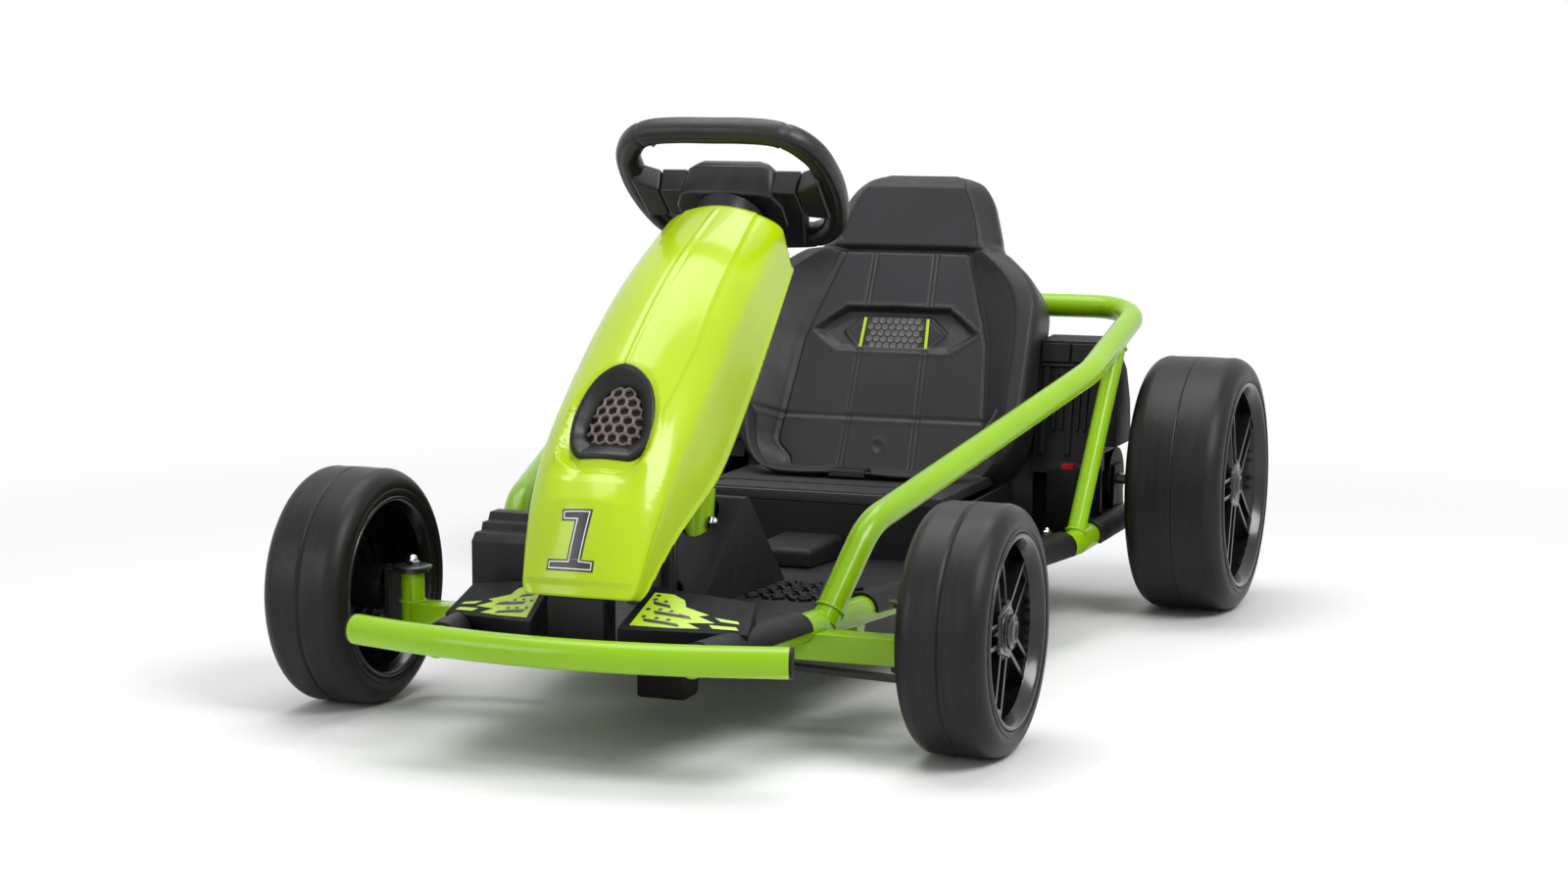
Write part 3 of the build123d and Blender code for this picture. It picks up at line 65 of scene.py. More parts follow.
# Material helpers
def node_tree(name):
    """A new node material with its shader and a socket for object coordinates."""
    mat = bpy.data.materials.new(name)
    mat.use_nodes = True
    tree = mat.node_tree
    shader = tree.nodes["Principled BSDF"]
    where = tree.nodes.new("ShaderNodeTexCoord").outputs["Object"]
    return mat, tree, shader, where


def put(node, values):
    """Sets a node's inputs by name."""
    for name, value in values.items():
        node.inputs[name].default_value = value


def noise(tree, where, scale, detail=4.0, rough=0.55, stretch=None):
    """Noise texture output at a scale in cells per metre, stretched along the axes if asked."""
    if stretch:
        mapping = tree.nodes.new("ShaderNodeMapping")
        mapping.inputs["Scale"].default_value = stretch
        tree.links.new(where, mapping.inputs["Vector"])
        where = mapping.outputs["Vector"]
    tex = tree.nodes.new("ShaderNodeTexNoise")
    put(tex, {"Scale": scale, "Detail": detail, "Roughness": rough})
    tree.links.new(where, tex.inputs["Vector"])
    return tex.outputs["Fac"]


def ramp(tree, value, low, high, low_out, high_out):
    """Maps a value range onto an output range."""
    node = tree.nodes.new("ShaderNodeMapRange")
    put(node, {"From Min": low, "From Max": high, "To Min": low_out, "To Max": high_out})
    tree.links.new(value, node.inputs["Value"])
    return node.outputs["Result"]


def mix_colour(tree, factor, low, high):
    """Blends two colours by a factor socket."""
    node = tree.nodes.new("ShaderNodeMix")
    node.data_type = "RGBA"
    tree.links.new(factor, node.inputs["Factor"])
    for socket, colour in (("A", low), ("B", high)):
        target = [s for s in node.inputs if s.name == socket and s.type == "RGBA"][0]
        target.default_value = (*colour, 1)
    return [s for s in node.outputs if s.type == "RGBA"][0]


def bump(tree, shader, layers):
    """Chains bump nodes; layers are height socket, distance in metres, strength."""
    last = None
    for height, distance, strength in layers:
        node = tree.nodes.new("ShaderNodeBump")
        put(node, {"Distance": distance, "Strength": strength})
        tree.links.new(height, node.inputs["Height"])
        if last:
            tree.links.new(last, node.inputs["Normal"])
        last = node.outputs["Normal"]
    tree.links.new(last, shader.inputs["Normal"])


SCUFFS = 0.12


def moulded(name, colour, rough, grain=0.35, grain_scale=1400.0, coat=0.0, specular=0.5):
    """Moulded plastic: fine grain, slow change of tone, faint scuffs."""
    mat, tree, shader, where = node_tree(name)
    slow = noise(tree, where, 9.0, 3.0)
    fine = noise(tree, where, grain_scale, 2.0, 0.6)
    light = tuple(min(1.0, c * 1.25 + 0.002) for c in colour)
    dark = tuple(c * 0.8 for c in colour)
    tree.links.new(mix_colour(tree, ramp(tree, slow, 0.3, 0.7, 0, 1), dark, light),
                   shader.inputs["Base Color"])
    scuff = noise(tree, where, 60.0, 6.0, 0.7, (1.0, 1.0, 0.25))
    tree.links.new(ramp(tree, scuff, 0.3, 0.75, rough - SCUFFS / 2, rough + SCUFFS),
                   shader.inputs["Roughness"])
    put(shader, {"Specular IOR Level": specular, "Coat Weight": coat, "Coat Roughness": 0.08})
    bump(tree, shader, [(fine, 0.0004, grain), (slow, 0.002, 0.12)])
    return mat


def painted(name, colour, rough=0.24, coat=0.5, peel=0.10, scale=260.0, specular=0.5):
    """Glossy paint or gloss plastic with orange peel and a slight drift of tone."""
    mat, tree, shader, where = node_tree(name)
    slow = noise(tree, where, 5.0, 2.0)
    light = tuple(min(1.0, c * 1.08) for c in colour)
    dark = tuple(c * 0.9 for c in colour)
    tree.links.new(mix_colour(tree, ramp(tree, slow, 0.3, 0.7, 0, 1), dark, light),
                   shader.inputs["Base Color"])
    marks = noise(tree, where, 90.0, 8.0, 0.7)
    tree.links.new(ramp(tree, marks, 0.3, 0.8, rough * 0.97, rough * 1.05), shader.inputs["Roughness"])
    put(shader, {"Specular IOR Level": specular, "Coat Weight": coat, "Coat Roughness": 0.07})
    bump(tree, shader, [(noise(tree, where, scale, 2.0), 0.0003, peel)])
    return mat


def metal(name, colour, rough, grain=0.2):
    """Brushed or plated metal."""
    mat, tree, shader, where = node_tree(name)
    shader.inputs["Metallic"].default_value = 1.0
    marks = noise(tree, where, 300.0, 5.0, 0.6, (1.0, 6.0, 1.0))
    tree.links.new(mix_colour(tree, marks, tuple(c * 0.85 for c in colour), colour),
                   shader.inputs["Base Color"])
    tree.links.new(ramp(tree, marks, 0.3, 0.7, rough * 0.8, rough * 1.3), shader.inputs["Roughness"])
    bump(tree, shader, [(marks, 0.0002, grain)])
    return mat


def tyre_rubber(name):
    """Slick tyre plastic: long soft streaks of tone and duller patches."""
    mat, tree, shader, where = node_tree(name)
    slow = noise(tree, where, 14.0, 4.0)
    streak = noise(tree, where, 30.0, 5.0, 0.65, (0.4, 5.0, 0.4))
    fine = noise(tree, where, 900.0, 3.0, 0.6)
    tone = ramp(tree, streak, 0.25, 0.8, 0, 1)
    tree.links.new(mix_colour(tree, tone, (0.0032, 0.0027, 0.0030), (0.0135, 0.0108, 0.0118)),
                   shader.inputs["Base Color"])
    tree.links.new(ramp(tree, slow, 0.3, 0.7, 0.34, 0.52), shader.inputs["Roughness"])
    shader.inputs["Specular IOR Level"].default_value = 0.26
    bump(tree, shader, [(fine, 0.0003, 0.30), (streak, 0.0008, 0.12)])
    return mat


LIME = (0.262, 0.505, 0.004)
NOSE_LIME = (0.440, 0.620, 0.003)
M = {
    "lime": painted("lime_paint", LIME, coat=0.22, peel=0.015, specular=0.25),
    "nose": painted("nose_plastic", NOSE_LIME, rough=0.26, coat=0.25, peel=0.008, scale=60.0, specular=0.3),
    "black": moulded("black_plastic", (0.0055, 0.0050, 0.0060), 0.42, specular=0.20),
    "floor": moulded("floor_plastic", (0.0085, 0.0078, 0.0095), 0.48, grain=0.5, specular=0.24),
    "seat": moulded("seat_plastic", (0.0165, 0.0145, 0.0170), 0.42, grain=0.4, specular=0.30),
    "seat_dark": moulded("seat_dark_plastic", (0.010, 0.010, 0.011), 0.5),
    "wheel_grip": moulded("steering_plastic", (0.0085, 0.0075, 0.0088), 0.34, grain=0.35, specular=0.42),
    "rim": moulded("rim_plastic", (0.0045, 0.0043, 0.0055), 0.2, grain=0.08, coat=0.25, specular=0.4),
    "tyre": tyre_rubber("tyre_plastic"),
    "steel": metal("steel", (0.62, 0.62, 0.63), 0.3),
    "chrome": metal("chrome_plate", (0.85, 0.85, 0.86), 0.12, 0.05),
    "dark_steel": painted("black_paint", (0.012, 0.012, 0.013), rough=0.35, coat=0.2),
    "red": painted("red_plastic", (0.60, 0.012, 0.012)),
    "webbing": moulded("webbing", (0.016, 0.015, 0.016), 0.75, grain=1.0, grain_scale=900.0),
    "plate": moulded("plate_black", (0.0055, 0.0055, 0.0065), 0.5, grain=0.2, specular=0.14),
    "white": painted("white_ink", (0.80, 0.80, 0.78)),
    "intake": moulded("intake_plastic", (0.006, 0.006, 0.007), 0.34, grain=0.2, specular=0.3),
    "mesh_dark": moulded("mesh_shadow", (0.010, 0.006, 0.006), 0.8),
    "mesh_bar": moulded("mesh_plastic", (0.16, 0.125, 0.12), 0.5),
    "ink_black": moulded("ink_black", (0.014, 0.010, 0.016), 0.3, grain=0.1),
    "ink_lime": painted("ink_lime", (0.42, 0.62, 0.02), rough=0.3, coat=0.1),
    "comb": moulded("comb_print", (0.075, 0.070, 0.072), 0.4, grain=0.2),
}


# The CAD nodes that stay visible; the others are replaced further down
NODE_LOOKS = {
    "lime": ["front_bumper", "hoop", "strut_left", "strut_right", "side_rail_left", "side_rail_right",
             "cross_tube_front", "cross_tube_rear", "post_socket"],
    "floor": ["floor_pan"],
    "wheel_grip": ["nose_collar"],
    "steel": ["rear_axle"],
    "dark_steel": ["knuckle_left", "knuckle_right", "post_tube", "upper_steering_column",
                   "tie_rod_left", "tie_rod_right", "lower_steering_column"],
    "red": ["power_switch"],
    "black": ["bumper_cap_left", "bumper_cap_right", "battery_block", "gearbox_left", "gearbox_right"],
}
for look_key, names in NODE_LOOKS.items():
    for node_name in names:
        node_data = NODES[node_name].data
        node_data.materials.clear()
        node_data.materials.append(M[look_key])


# Mesh helpers
def piece(name, verts, faces, material, body="chassis", smooth=True):
    """A mesh piece in the shared frame that rides on a body."""
    data = bpy.data.meshes.new(name)
    data.from_pydata([tuple(v) for v in verts], [], [tuple(f) for f in faces])
    data.update()
    data.materials.append(M[material])
    obj = bpy.data.objects.new(name, data)
    scene.collection.objects.link(obj)
    tidy = bmesh.new()
    tidy.from_mesh(data)
    bmesh.ops.recalc_face_normals(tidy, faces=tidy.faces)
    tidy.to_mesh(data)
    tidy.free()
    if smooth:
        for polygon in data.polygons:
            polygon.use_smooth = True
    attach(obj, body)
    return obj


def spline(knots, values):
    """Natural cubic spline through rows of values, as a function of the knot."""
    knots = np.asarray(knots, float)
    values = np.asarray(values, float).reshape(len(knots), -1)
    step = np.diff(knots)
    count = len(knots)
    system = np.eye(count)
    right = np.zeros_like(values)
    for i in range(1, count - 1):
        system[i, i - 1:i + 2] = step[i - 1], 2 * (step[i - 1] + step[i]), step[i]
        right[i] = 6 * ((values[i + 1] - values[i]) / step[i] - (values[i] - values[i - 1]) / step[i - 1])
    second = np.linalg.solve(system, right)

    def at(t):
        i = int(np.clip(np.searchsorted(knots, t) - 1, 0, count - 2))
        a = (knots[i + 1] - t) / step[i]
        b = 1 - a
        bend = ((a**3 - a) * second[i] + (b**3 - b) * second[i + 1]) * step[i]**2 / 6
        return a * values[i] + b * values[i + 1] + bend
    return at


def ease(value, low, high):
    """Smooth step from 0 at low to 1 at high."""
    x = min(1.0, max(0.0, (value - low) / (high - low)))
    return x * x * (3 - 2 * x)


def ridge(distance, width):
    """Rounded ridge profile, 1 on its line and near 0 a width away."""
    return math.exp(-(distance / (0.5 * width))**2)


def unit(vectors):
    """A vector, or each row of an array of vectors, at length one."""
    vectors = np.asarray(vectors, float)
    return vectors / np.linalg.norm(vectors, axis=-1, keepdims=True)


def resampled(line, count, endpoint=True):
    """Evenly spaced points along a line of straight steps."""
    length = np.r_[0, np.cumsum(np.linalg.norm(np.diff(line, axis=0), axis=1))]
    at = np.linspace(0, length[-1], count, endpoint=endpoint)
    return np.stack([np.interp(at, length, line[:, k]) for k in range(line.shape[1])], 1)


def turn_sign(loop):
    """1 for a plane loop that runs anticlockwise, -1 for the other way."""
    ahead = np.roll(loop, -1, 0)
    return np.sign(np.sum(loop[:, 0] * ahead[:, 1] - loop[:, 1] * ahead[:, 0]))


def loop_through(points, count, closed=True):
    """Evenly spaced points on a smooth curve through points."""
    ring = [np.array(p, float) for p in points]
    total = len(ring)
    dense = []
    for i in range(total if closed else total - 1):
        if closed:
            p0, p1, p2, p3 = (ring[(i + k) % total] for k in (-1, 0, 1, 2))
        else:
            p1, p2 = ring[i], ring[i + 1]
            p0 = ring[i - 1] if i else 2 * p1 - p2
            p3 = ring[i + 2] if i + 2 < total else 2 * p2 - p1
        for s in np.linspace(0, 1, 12, endpoint=False):
            dense.append(0.5 * (2 * p1 + (p2 - p0) * s + (2 * p0 - 5 * p1 + 4 * p2 - p3) * s**2
                                + (3 * p1 - p0 - 3 * p2 + p3) * s**3))
    dense.append(dense[0] if closed else ring[-1])
    return resampled(np.array(dense), count, endpoint=not closed)


def bridge(rows, closed_rows=False):
    """Vertices and quads of a surface through equally long rows of points."""
    verts = [p for row in rows for p in row]
    width = len(rows[0])
    faces = []
    for i in range(len(rows) - 1):
        for j in range(width if closed_rows else width - 1):
            k = (j + 1) % width
            faces.append((i * width + j, i * width + k, (i + 1) * width + k, (i + 1) * width + j))
    return verts, faces


def joined(parts):
    """Vertices and faces of several meshes as one."""
    verts = []
    faces = []
    for part_verts, part_faces in parts:
        faces += [tuple(len(verts) + k for k in face) for face in part_faces]
        verts += part_verts
    return verts, faces


def mirrored_loop(half, count):
    """Smooth closed loop from a half outline that starts and ends on the middle line."""
    return loop_through([*half, *[(-across, along) for across, along in half[-2:0:-1]]], count)


def honeycomb(pitch, rows, middle, rings, keep, place):
    """Mesh of six-sided cells on a staggered grid; rings of radius and height, put in place by a function."""
    cells = []
    turns = [math.radians(60 * corner + 30) for corner in range(6)]
    for row in range(-rows, rows + 1):
        for column in range(-4, 5):
            across = (column + 0.5 * (row % 2)) * pitch
            along = middle + row * pitch * 0.866
            if not keep(across, along):
                continue
            cell = []
            for radius, height in rings:
                cell.append([place(across + radius * math.cos(turn), along + radius * math.sin(turn), height)
                             for turn in turns])
            cells.append(bridge(cell, closed_rows=True))
    return joined(cells)


def inset_loop(loop, amount):
    """Closed plane loop moved inwards by an amount, one value or one per point."""
    loop = np.asarray(loop, float)
    along = unit(np.roll(loop, -1, 0) - np.roll(loop, 1, 0))
    inward = np.stack([-along[:, 1], along[:, 0]], 1)
    return loop + inward * (turn_sign(loop) * np.broadcast_to(amount, len(loop))[:, None])


def inside(loop, x, y):
    """True where a point is inside a closed plane loop."""
    x0, y0 = loop[:, 0], loop[:, 1]
    x1, y1 = np.roll(x0, -1), np.roll(y0, -1)
    cross = (y0 > y) != (y1 > y)
    with np.errstate(divide="ignore", invalid="ignore"):
        hit = x < x0 + (y - y0) * (x1 - x0) / (y1 - y0)
    return bool(np.count_nonzero(cross & hit) % 2)


def modify(obj, kind, name, **values):
    """Adds a modifier with its values and applies it."""
    modifier = obj.modifiers.new(name, kind)
    for key, value in values.items():
        setattr(modifier, key, value)
    with bpy.context.temp_override(object=obj, active_object=obj):
        bpy.ops.object.modifier_apply(modifier=name)


# Nose cowl: sections along the crown line, millimetres
# columns: x and z of the crown, slope in degrees, half width at the shoulder, at the lower edge, depth
NOSE_ROWS = (
    (160.0, 456.0, 29.0, 59.0, 60.0, 68.0),
    (267.0, 405.0, 31.0, 65.0, 68.0, 92.0),
    (370.0, 333.0, 35.0, 67.0, 70.0, 103.0),
    (432.0, 275.0, 50.0, 65.0, 68.0, 92.0),
    (468.0, 215.0, 64.0, 60.0, 62.0, 62.0),
    (488.0, 146.0, 80.0, 52.0, 53.0, 24.0),
)
# share of a section's depth that the shoulder lies below the crown, and the shell's thickness
NOSE_DROP = 0.36
NOSE_WALL = 2.8
# columns: share of the half width, share of the shoulder's drop
NOSE_PROFILE = ((0, 0), (0.3, 0.075), (0.55, 0.25), (0.75, 0.46), (0.9, 0.70), (0.975, 0.90), (1.0, 1.12))
nose_table = np.array(NOSE_ROWS)
nose_knots = np.r_[0, np.cumsum(np.hypot(np.diff(nose_table[:, 0]), np.diff(nose_table[:, 1])))]
NOSE_LONG = nose_knots[-1]
nose_spline = spline(nose_knots, nose_table)
# columns: distance along the crown, half width of the raised panel between its creases
CREASE = ((0, 35), (84, 41), (207, 47), (260, 45), (305, 41.5), (340, 39.5), (500, 39))
# columns: distance along the crown, how far the scoop is sunk
SCOOP_DEPTH = ((0, 0), (246, 0), (262, 2), (300, 8), (340, 16.5), (352, 17), (368, 7), (388, 0), (500, 0))
# columns: y, distance along the crown of the scoop's edge
SCOOP_EDGE = ((0, 240), (20, 250), (34, 270), (41.5, 298), (42.5, 326), (40, 343), (33, 353), (24, 357.5),
              (0, 358.5))
scoop_loop = mirrored_loop(SCOOP_EDGE, 160)


def table_at(table, t):
    """Value of a two-column table at t."""
    return float(np.interp(t, [row[0] for row in table], [row[1] for row in table]))


def loop_distance(loop, x, y):
    """Distance from a point to a loop, positive inside."""
    gap = float(np.min(np.hypot(loop[:, 0] - x, loop[:, 1] - y)))
    return gap if inside(loop, x, y) else -gap


def nose_section(t):
    """Half outline of one section, from the crown to the lower edge: y, depth below the crown."""
    _, _, _, shoulder, foot, depth = nose_spline(t)
    drop = NOSE_DROP * depth
    points = [(a * shoulder, b * drop) for a, b in NOSE_PROFILE]
    last = points[-1]
    for share in (0.35, 0.7, 1.0):
        points.append((last[0] + (foot - last[0]) * share, last[1] + (depth - last[1]) * share))
    mirrored = (-points[1][0], points[1][1])
    curve = loop_through([mirrored, *points], 300, closed=False)
    return resampled(np.vstack([(0.0, 0.0), curve[curve[:, 0] > 0.2]]), 90)


SECTION_STEP = 2.0
section_cache = {}


def section_near(t):
    """Section outline at t from a table of evenly spaced ones."""
    key = round(t / SECTION_STEP)
    if key not in section_cache:
        section_cache[key] = nose_section(key * SECTION_STEP)
    return section_cache[key]


def nose_relief(t, y):
    """Height of the nose's moulded detail over its smooth surface."""
    height = 0.0
    crease = table_at(CREASE, t)
    fade = 1 - ease(t, 300, 372)
    height += 1.1 * (1 - ease(abs(y), crease - 1.5, crease + 2.5)) * fade
    height += 0.5 * ridge(abs(y) - crease, 4.0) * fade
    if t < 250:
        height += 0.9 * ridge(y, 3.2) * ease(t, 3, 14)
        height -= 0.5 * ridge(abs(y) - 4.0, 4.0) * ease(t, 3, 14)
    if 236 < t < 400 and abs(y) < 60:
        gap = loop_distance(scoop_loop, y, t)
        fan = (1 - ease(abs(y), 18, 46)) * ease(t, 340, 356)
        height -= table_at(SCOOP_DEPTH, t) * max(ease(gap, -1.5, 4.5), fan)
        height += 0.8 * ridge(gap + 2.0, 6.0) * ease(t, 262, 300)
    return height


def nose_point(t, y, lift):
    """Point on the nose's top at a distance along the crown and a y, in millimetres."""
    x, z, slope, *_ = nose_spline(t)
    section = section_near(t)
    depth = float(np.interp(abs(y), section[:, 0], section[:, 1]))
    slope = math.radians(slope)
    down = lift + nose_relief(t, y) - depth
    return np.array((x + math.sin(slope) * down, y, z + math.cos(slope) * down))


def nose_side(t, share, side):
    """Point on the nose at a share of the half outline's length, with its relief on the top."""
    x, z, slope, *_ = nose_spline(t)
    section = section_near(t)
    y, depth = (float(np.interp(share, np.linspace(0, 1, len(section)), section[:, k])) for k in (0, 1))
    slope = math.radians(slope)
    last = len(section) - 1
    spot = int(share * last)
    across = unit(section[min(last, spot + 1)] - section[max(0, spot - 1)])
    out = nose_relief(t, side * y) if y < 62 and share < 0.72 else 0.0
    out += 1.6 * ridge((1 - share) * 3.0, 0.16)
    out -= 1.5 * ease(t, NOSE_LONG - 13.5, NOSE_LONG - 11.5) * (1 - ease(share, 0.6, 0.75))
    y *= 1 - 0.10 * ease(t, NOSE_LONG - 16, NOSE_LONG + 6)**2
    y += out * across[1]
    depth -= out * across[0]
    return np.array((x - math.sin(slope) * depth, side * y, z - math.cos(slope) * depth))


# Nose mesh, open inside the intake's outline; columns: y, distance along the crown
D_HALF = ((0, 249.5), (13, 253), (25, 263), (32.5, 277), (37, 295), (38.5, 310), (36.5, 324), (30.5, 335),
          (25, 340), (19, 341.5), (0, 342))
intake_loop = mirrored_loop(D_HALF, 128)
cut_loop = inset_loop(intake_loop, 1.5)

shares = np.r_[np.linspace(0, 0.27, 26), np.linspace(0.278, 0.5, 28), np.linspace(0.512, 1, 36)]
nose_rows = []
nose_spots = []
NOSE_STEPS = np.r_[np.linspace(0, 238, 90), np.linspace(239.5, 374, 91), np.linspace(376, NOSE_LONG, 44)]
for t in NOSE_STEPS:
    half_left = [nose_side(t, s, 1) for s in shares]
    half_right = [nose_side(t, s, -1) for s in shares[1:]]
    nose_rows.append([*half_left[::-1], *half_right])
    section = section_near(t)
    ys = np.interp(shares, np.linspace(0, 1, len(section)), section[:, 0])
    nose_spots.append([*ys[::-1], *(-ys[1:])])
verts, faces = bridge([[p * MM for p in row] for row in nose_rows])
width = len(nose_rows[0])
kept = []
for face in faces:
    row, column = divmod(face[0], width)
    t, y = float(NOSE_STEPS[row]), float(nose_spots[row][column])
    if 250 < t < 352 and abs(y) < 40 and inside(cut_loop, y, t):
        continue
    kept.append(face)
tip = [(len(nose_rows) - 1) * width + j for j in range(width)]
verts.append((nose_rows[-1][0] + nose_rows[-1][-1]) / 2 * MM)
kept += [(tip[j], tip[j + 1], len(verts) - 1) for j in range(width - 1)]
nose = piece("nose_shell", verts, kept, "nose")
modify(nose, "SOLIDIFY", "wall", thickness=NOSE_WALL * MM, offset=-1.0)
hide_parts("nose_cowl")

# Intake: a black flared frame, hexagon mesh and a dark back
foot_share = np.array([ease(t, 308, 338) for _, t in intake_loop])
frame_rows = []
# columns: how far inwards at the sides, at the foot, height over the scoop's floor
for inward, at_foot, height in ((-0.5, -0.5, -1.0), (0.2, 0.2, 1.6), (1.6, 1.6, 2.6), (3.4, 3.6, 2.2),
                                (5.2, 6.5, 0.4), (9.5, 14, -5.5), (12.5, 18.5, -9.0), (13.5, 20, -13.0)):
    ring = inset_loop(intake_loop, inward + (at_foot - inward) * foot_share)
    frame_rows.append([nose_point(t, y, height) * MM for y, t in ring])
verts, faces = bridge(frame_rows, closed_rows=True)
intake_ring = piece("intake_surround", verts, faces, "intake")
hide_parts("intake_frame")
BACK_SUNK = -14.5
back_verts = [nose_point(t, y, BACK_SUNK) * MM for y, t in inset_loop(intake_loop, 10 + 8 * foot_share)]
back_verts.append(nose_point(300, 0, BACK_SUNK) * MM)
rim_count = len(back_verts) - 1
piece("intake_back", back_verts, [(j, (j + 1) % rim_count, rim_count) for j in range(rim_count)], "mesh_dark")
HEX_PITCH = 10.6
HEX_RADIUS = HEX_PITCH * 0.577
HEX_BAR = 1.5
HEX_RINGS = ((HEX_RADIUS, -11.5), (HEX_RADIUS - HEX_BAR * 0.5, -11.0), (HEX_RADIUS - HEX_BAR, -11.6),
             (HEX_RADIUS - HEX_BAR, -14.0))
mesh_limit = inset_loop(intake_loop, 9 + 8 * foot_share)
verts, faces = honeycomb(HEX_PITCH, 6, 297, HEX_RINGS, lambda y, t: inside(mesh_limit, y, t),
                         lambda y, t, height: nose_point(t, y, height) * MM)
hexes = piece("intake_mesh", verts, faces, "mesh_bar", smooth=False)
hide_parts("intake_grille")


# Racing number: a black slab figure with a thin white inner line, laid on the nose
FIGURE = ((-19, 397), (9.5, 396), (4.5, 439), (16, 439.5), (15.5, 449.5), (-28, 449.5), (-27.5, 440),
          (-9, 439.5), (-5.5, 407), (-18, 407))


def inset_corners(points, amount):
    """Corner points of a polygon moved inwards, its sides kept parallel."""
    ring = np.array(points, float)
    along = unit(np.roll(ring, -1, 0) - ring)
    normal = np.stack([-along[:, 1], along[:, 0]], 1) * turn_sign(ring)
    moved = []
    for i, point in enumerate(ring):
        before, after = normal[i - 1], normal[i]
        moved.append(point + (before + after) * amount / (1 + float(before @ after)))
    return np.array(moved)


def ribbon_on_nose(name, path, width, lift, material):
    """Flat band along a closed path of straight sides on the nose."""
    rows = []
    for share in (-0.5, 0.5):
        ring = inset_corners(path, share * width)
        points = []
        for start, stop in zip(ring, np.roll(ring, -1, 0)):
            points += [start + (stop - start) * s for s in np.linspace(0, 1, 16, endpoint=False)]
        rows.append([nose_point(t, y, lift) * MM for y, t in points])
    verts, faces = bridge(rows, closed_rows=True)
    piece(name, verts, faces, material)


corner = [np.array(p, float) for p in FIGURE]
foot_corner = np.array((8.4, 406.5))
# columns: the four corners of each bar of the figure
FIGURE_BARS = ((corner[0], corner[1], foot_corner, corner[9]), (corner[8], foot_corner, corner[2], corner[7]),
               (corner[6], corner[3], corner[4], corner[5]))
figure_bars = []
for a, b, c, d in FIGURE_BARS:
    long_steps = max(2, int(np.linalg.norm(d - a) / 2))
    wide_steps = max(2, int(np.linalg.norm(b - a) / 2))
    rows = []
    for i in range(long_steps + 1):
        left = a + (d - a) * i / long_steps
        right = b + (c - b) * i / long_steps
        line = [left + (right - left) * j / wide_steps for j in range(wide_steps + 1)]
        rows.append([nose_point(t, y, 0.3) * MM for y, t in line])
    figure_bars.append(bridge(rows))
piece("race_figure", *joined(figure_bars), "ink_black")
ribbon_on_nose("race_figure_line", inset_corners(FIGURE, 2.1), 0.9, 0.55, "white")


# Seat: one blow-moulded shell, modelled as a relief on the plane of its back
BACK_FOOT = np.array((-286.5, 0.0, 146.0))
BACK_LEAN = math.radians(25.5)
BACK_UP = np.array((-math.sin(BACK_LEAN), 0.0, math.cos(BACK_LEAN)))
BACK_OUT = np.array((math.cos(BACK_LEAN), 0.0, math.sin(BACK_LEAN)))
# columns: height up the back, outer half width, inner edge of the side rim, edge of the middle panel,
# height of the side rim, depth of the outer edge behind the rim
SEAT_ROWS = (
    (-17, 112, 108, 99, 8, 0), (-6, 128, 120, 98, 15, 0), (13, 147, 134, 97, 24, 0),
    (30, 158, 141, 117, 29, 0), (53, 164, 144, 114, 32, 0), (90, 165, 144, 110, 33, 0),
    (149, 165, 144, 104, 33, 0), (180, 165, 141, 95, 33, 0), (196, 164, 136, 89, 32, 1),
    (210, 158, 129, 85, 31, 2), (224, 149, 119, 80, 29, 3), (240, 132, 102, 75, 26, 4),
    (252, 119, 89, 71, 22, 6), (258, 112, 84, 69, 15, 8), (262, 107, 80, 68, 8, 10),
    (272, 101, 77, 76, 6, 14), (284, 98, 74, 73, 6, 15), (306, 91, 67, 66, 6, 15), (326, 84, 58, 57, 6, 15),
    (333, 79, 54, 53, 5, 15), (338, 77, 54, 53, 1, 12), (346, 70, 50, 49, -7, 6), (351, 60, 44, 43, -12, 4),
    (354, 48, 38, 37, -17, 3),
)
seat_table = np.array(SEAT_ROWS, float)
SEAT_FOOT_V = -17
SEAT_TOP_V = 354
NECK_V = 256
SEAT_BACK = -34.0
PANEL_RISE = 5.0
SEAM_FOOT_Y = 41.0
SEAM_TOP_Y = 35.0
# columns: y and height up the back of the sunk eye's edge, and of the badge's edge inside it
EYE_LOOP = loop_through(((-95, 161), (-90, 166), (-62, 187), (-50, 189.5), (50, 189.5), (62, 187), (90, 166),
                         (95, 161), (88, 154), (68, 140), (56, 137), (-56, 137), (-68, 140), (-88, 154)), 150)
BADGE_LOOP = loop_through(((-59, 161.5), (-54, 167), (-42, 176.5), (-36, 178.5), (36, 178.5), (42, 176.5),
                           (54, 167), (59, 161.5), (54, 154), (42, 142.5), (36, 140.5), (-36, 140.5),
                           (-42, 142.5), (-54, 154)), 150)


def seat_at(y, v, h):
    """Point on the seat's back: across, up the back and out of it."""
    return (BACK_FOOT + BACK_UP * v + BACK_OUT * h + np.array((0.0, y, 0.0))) * MM


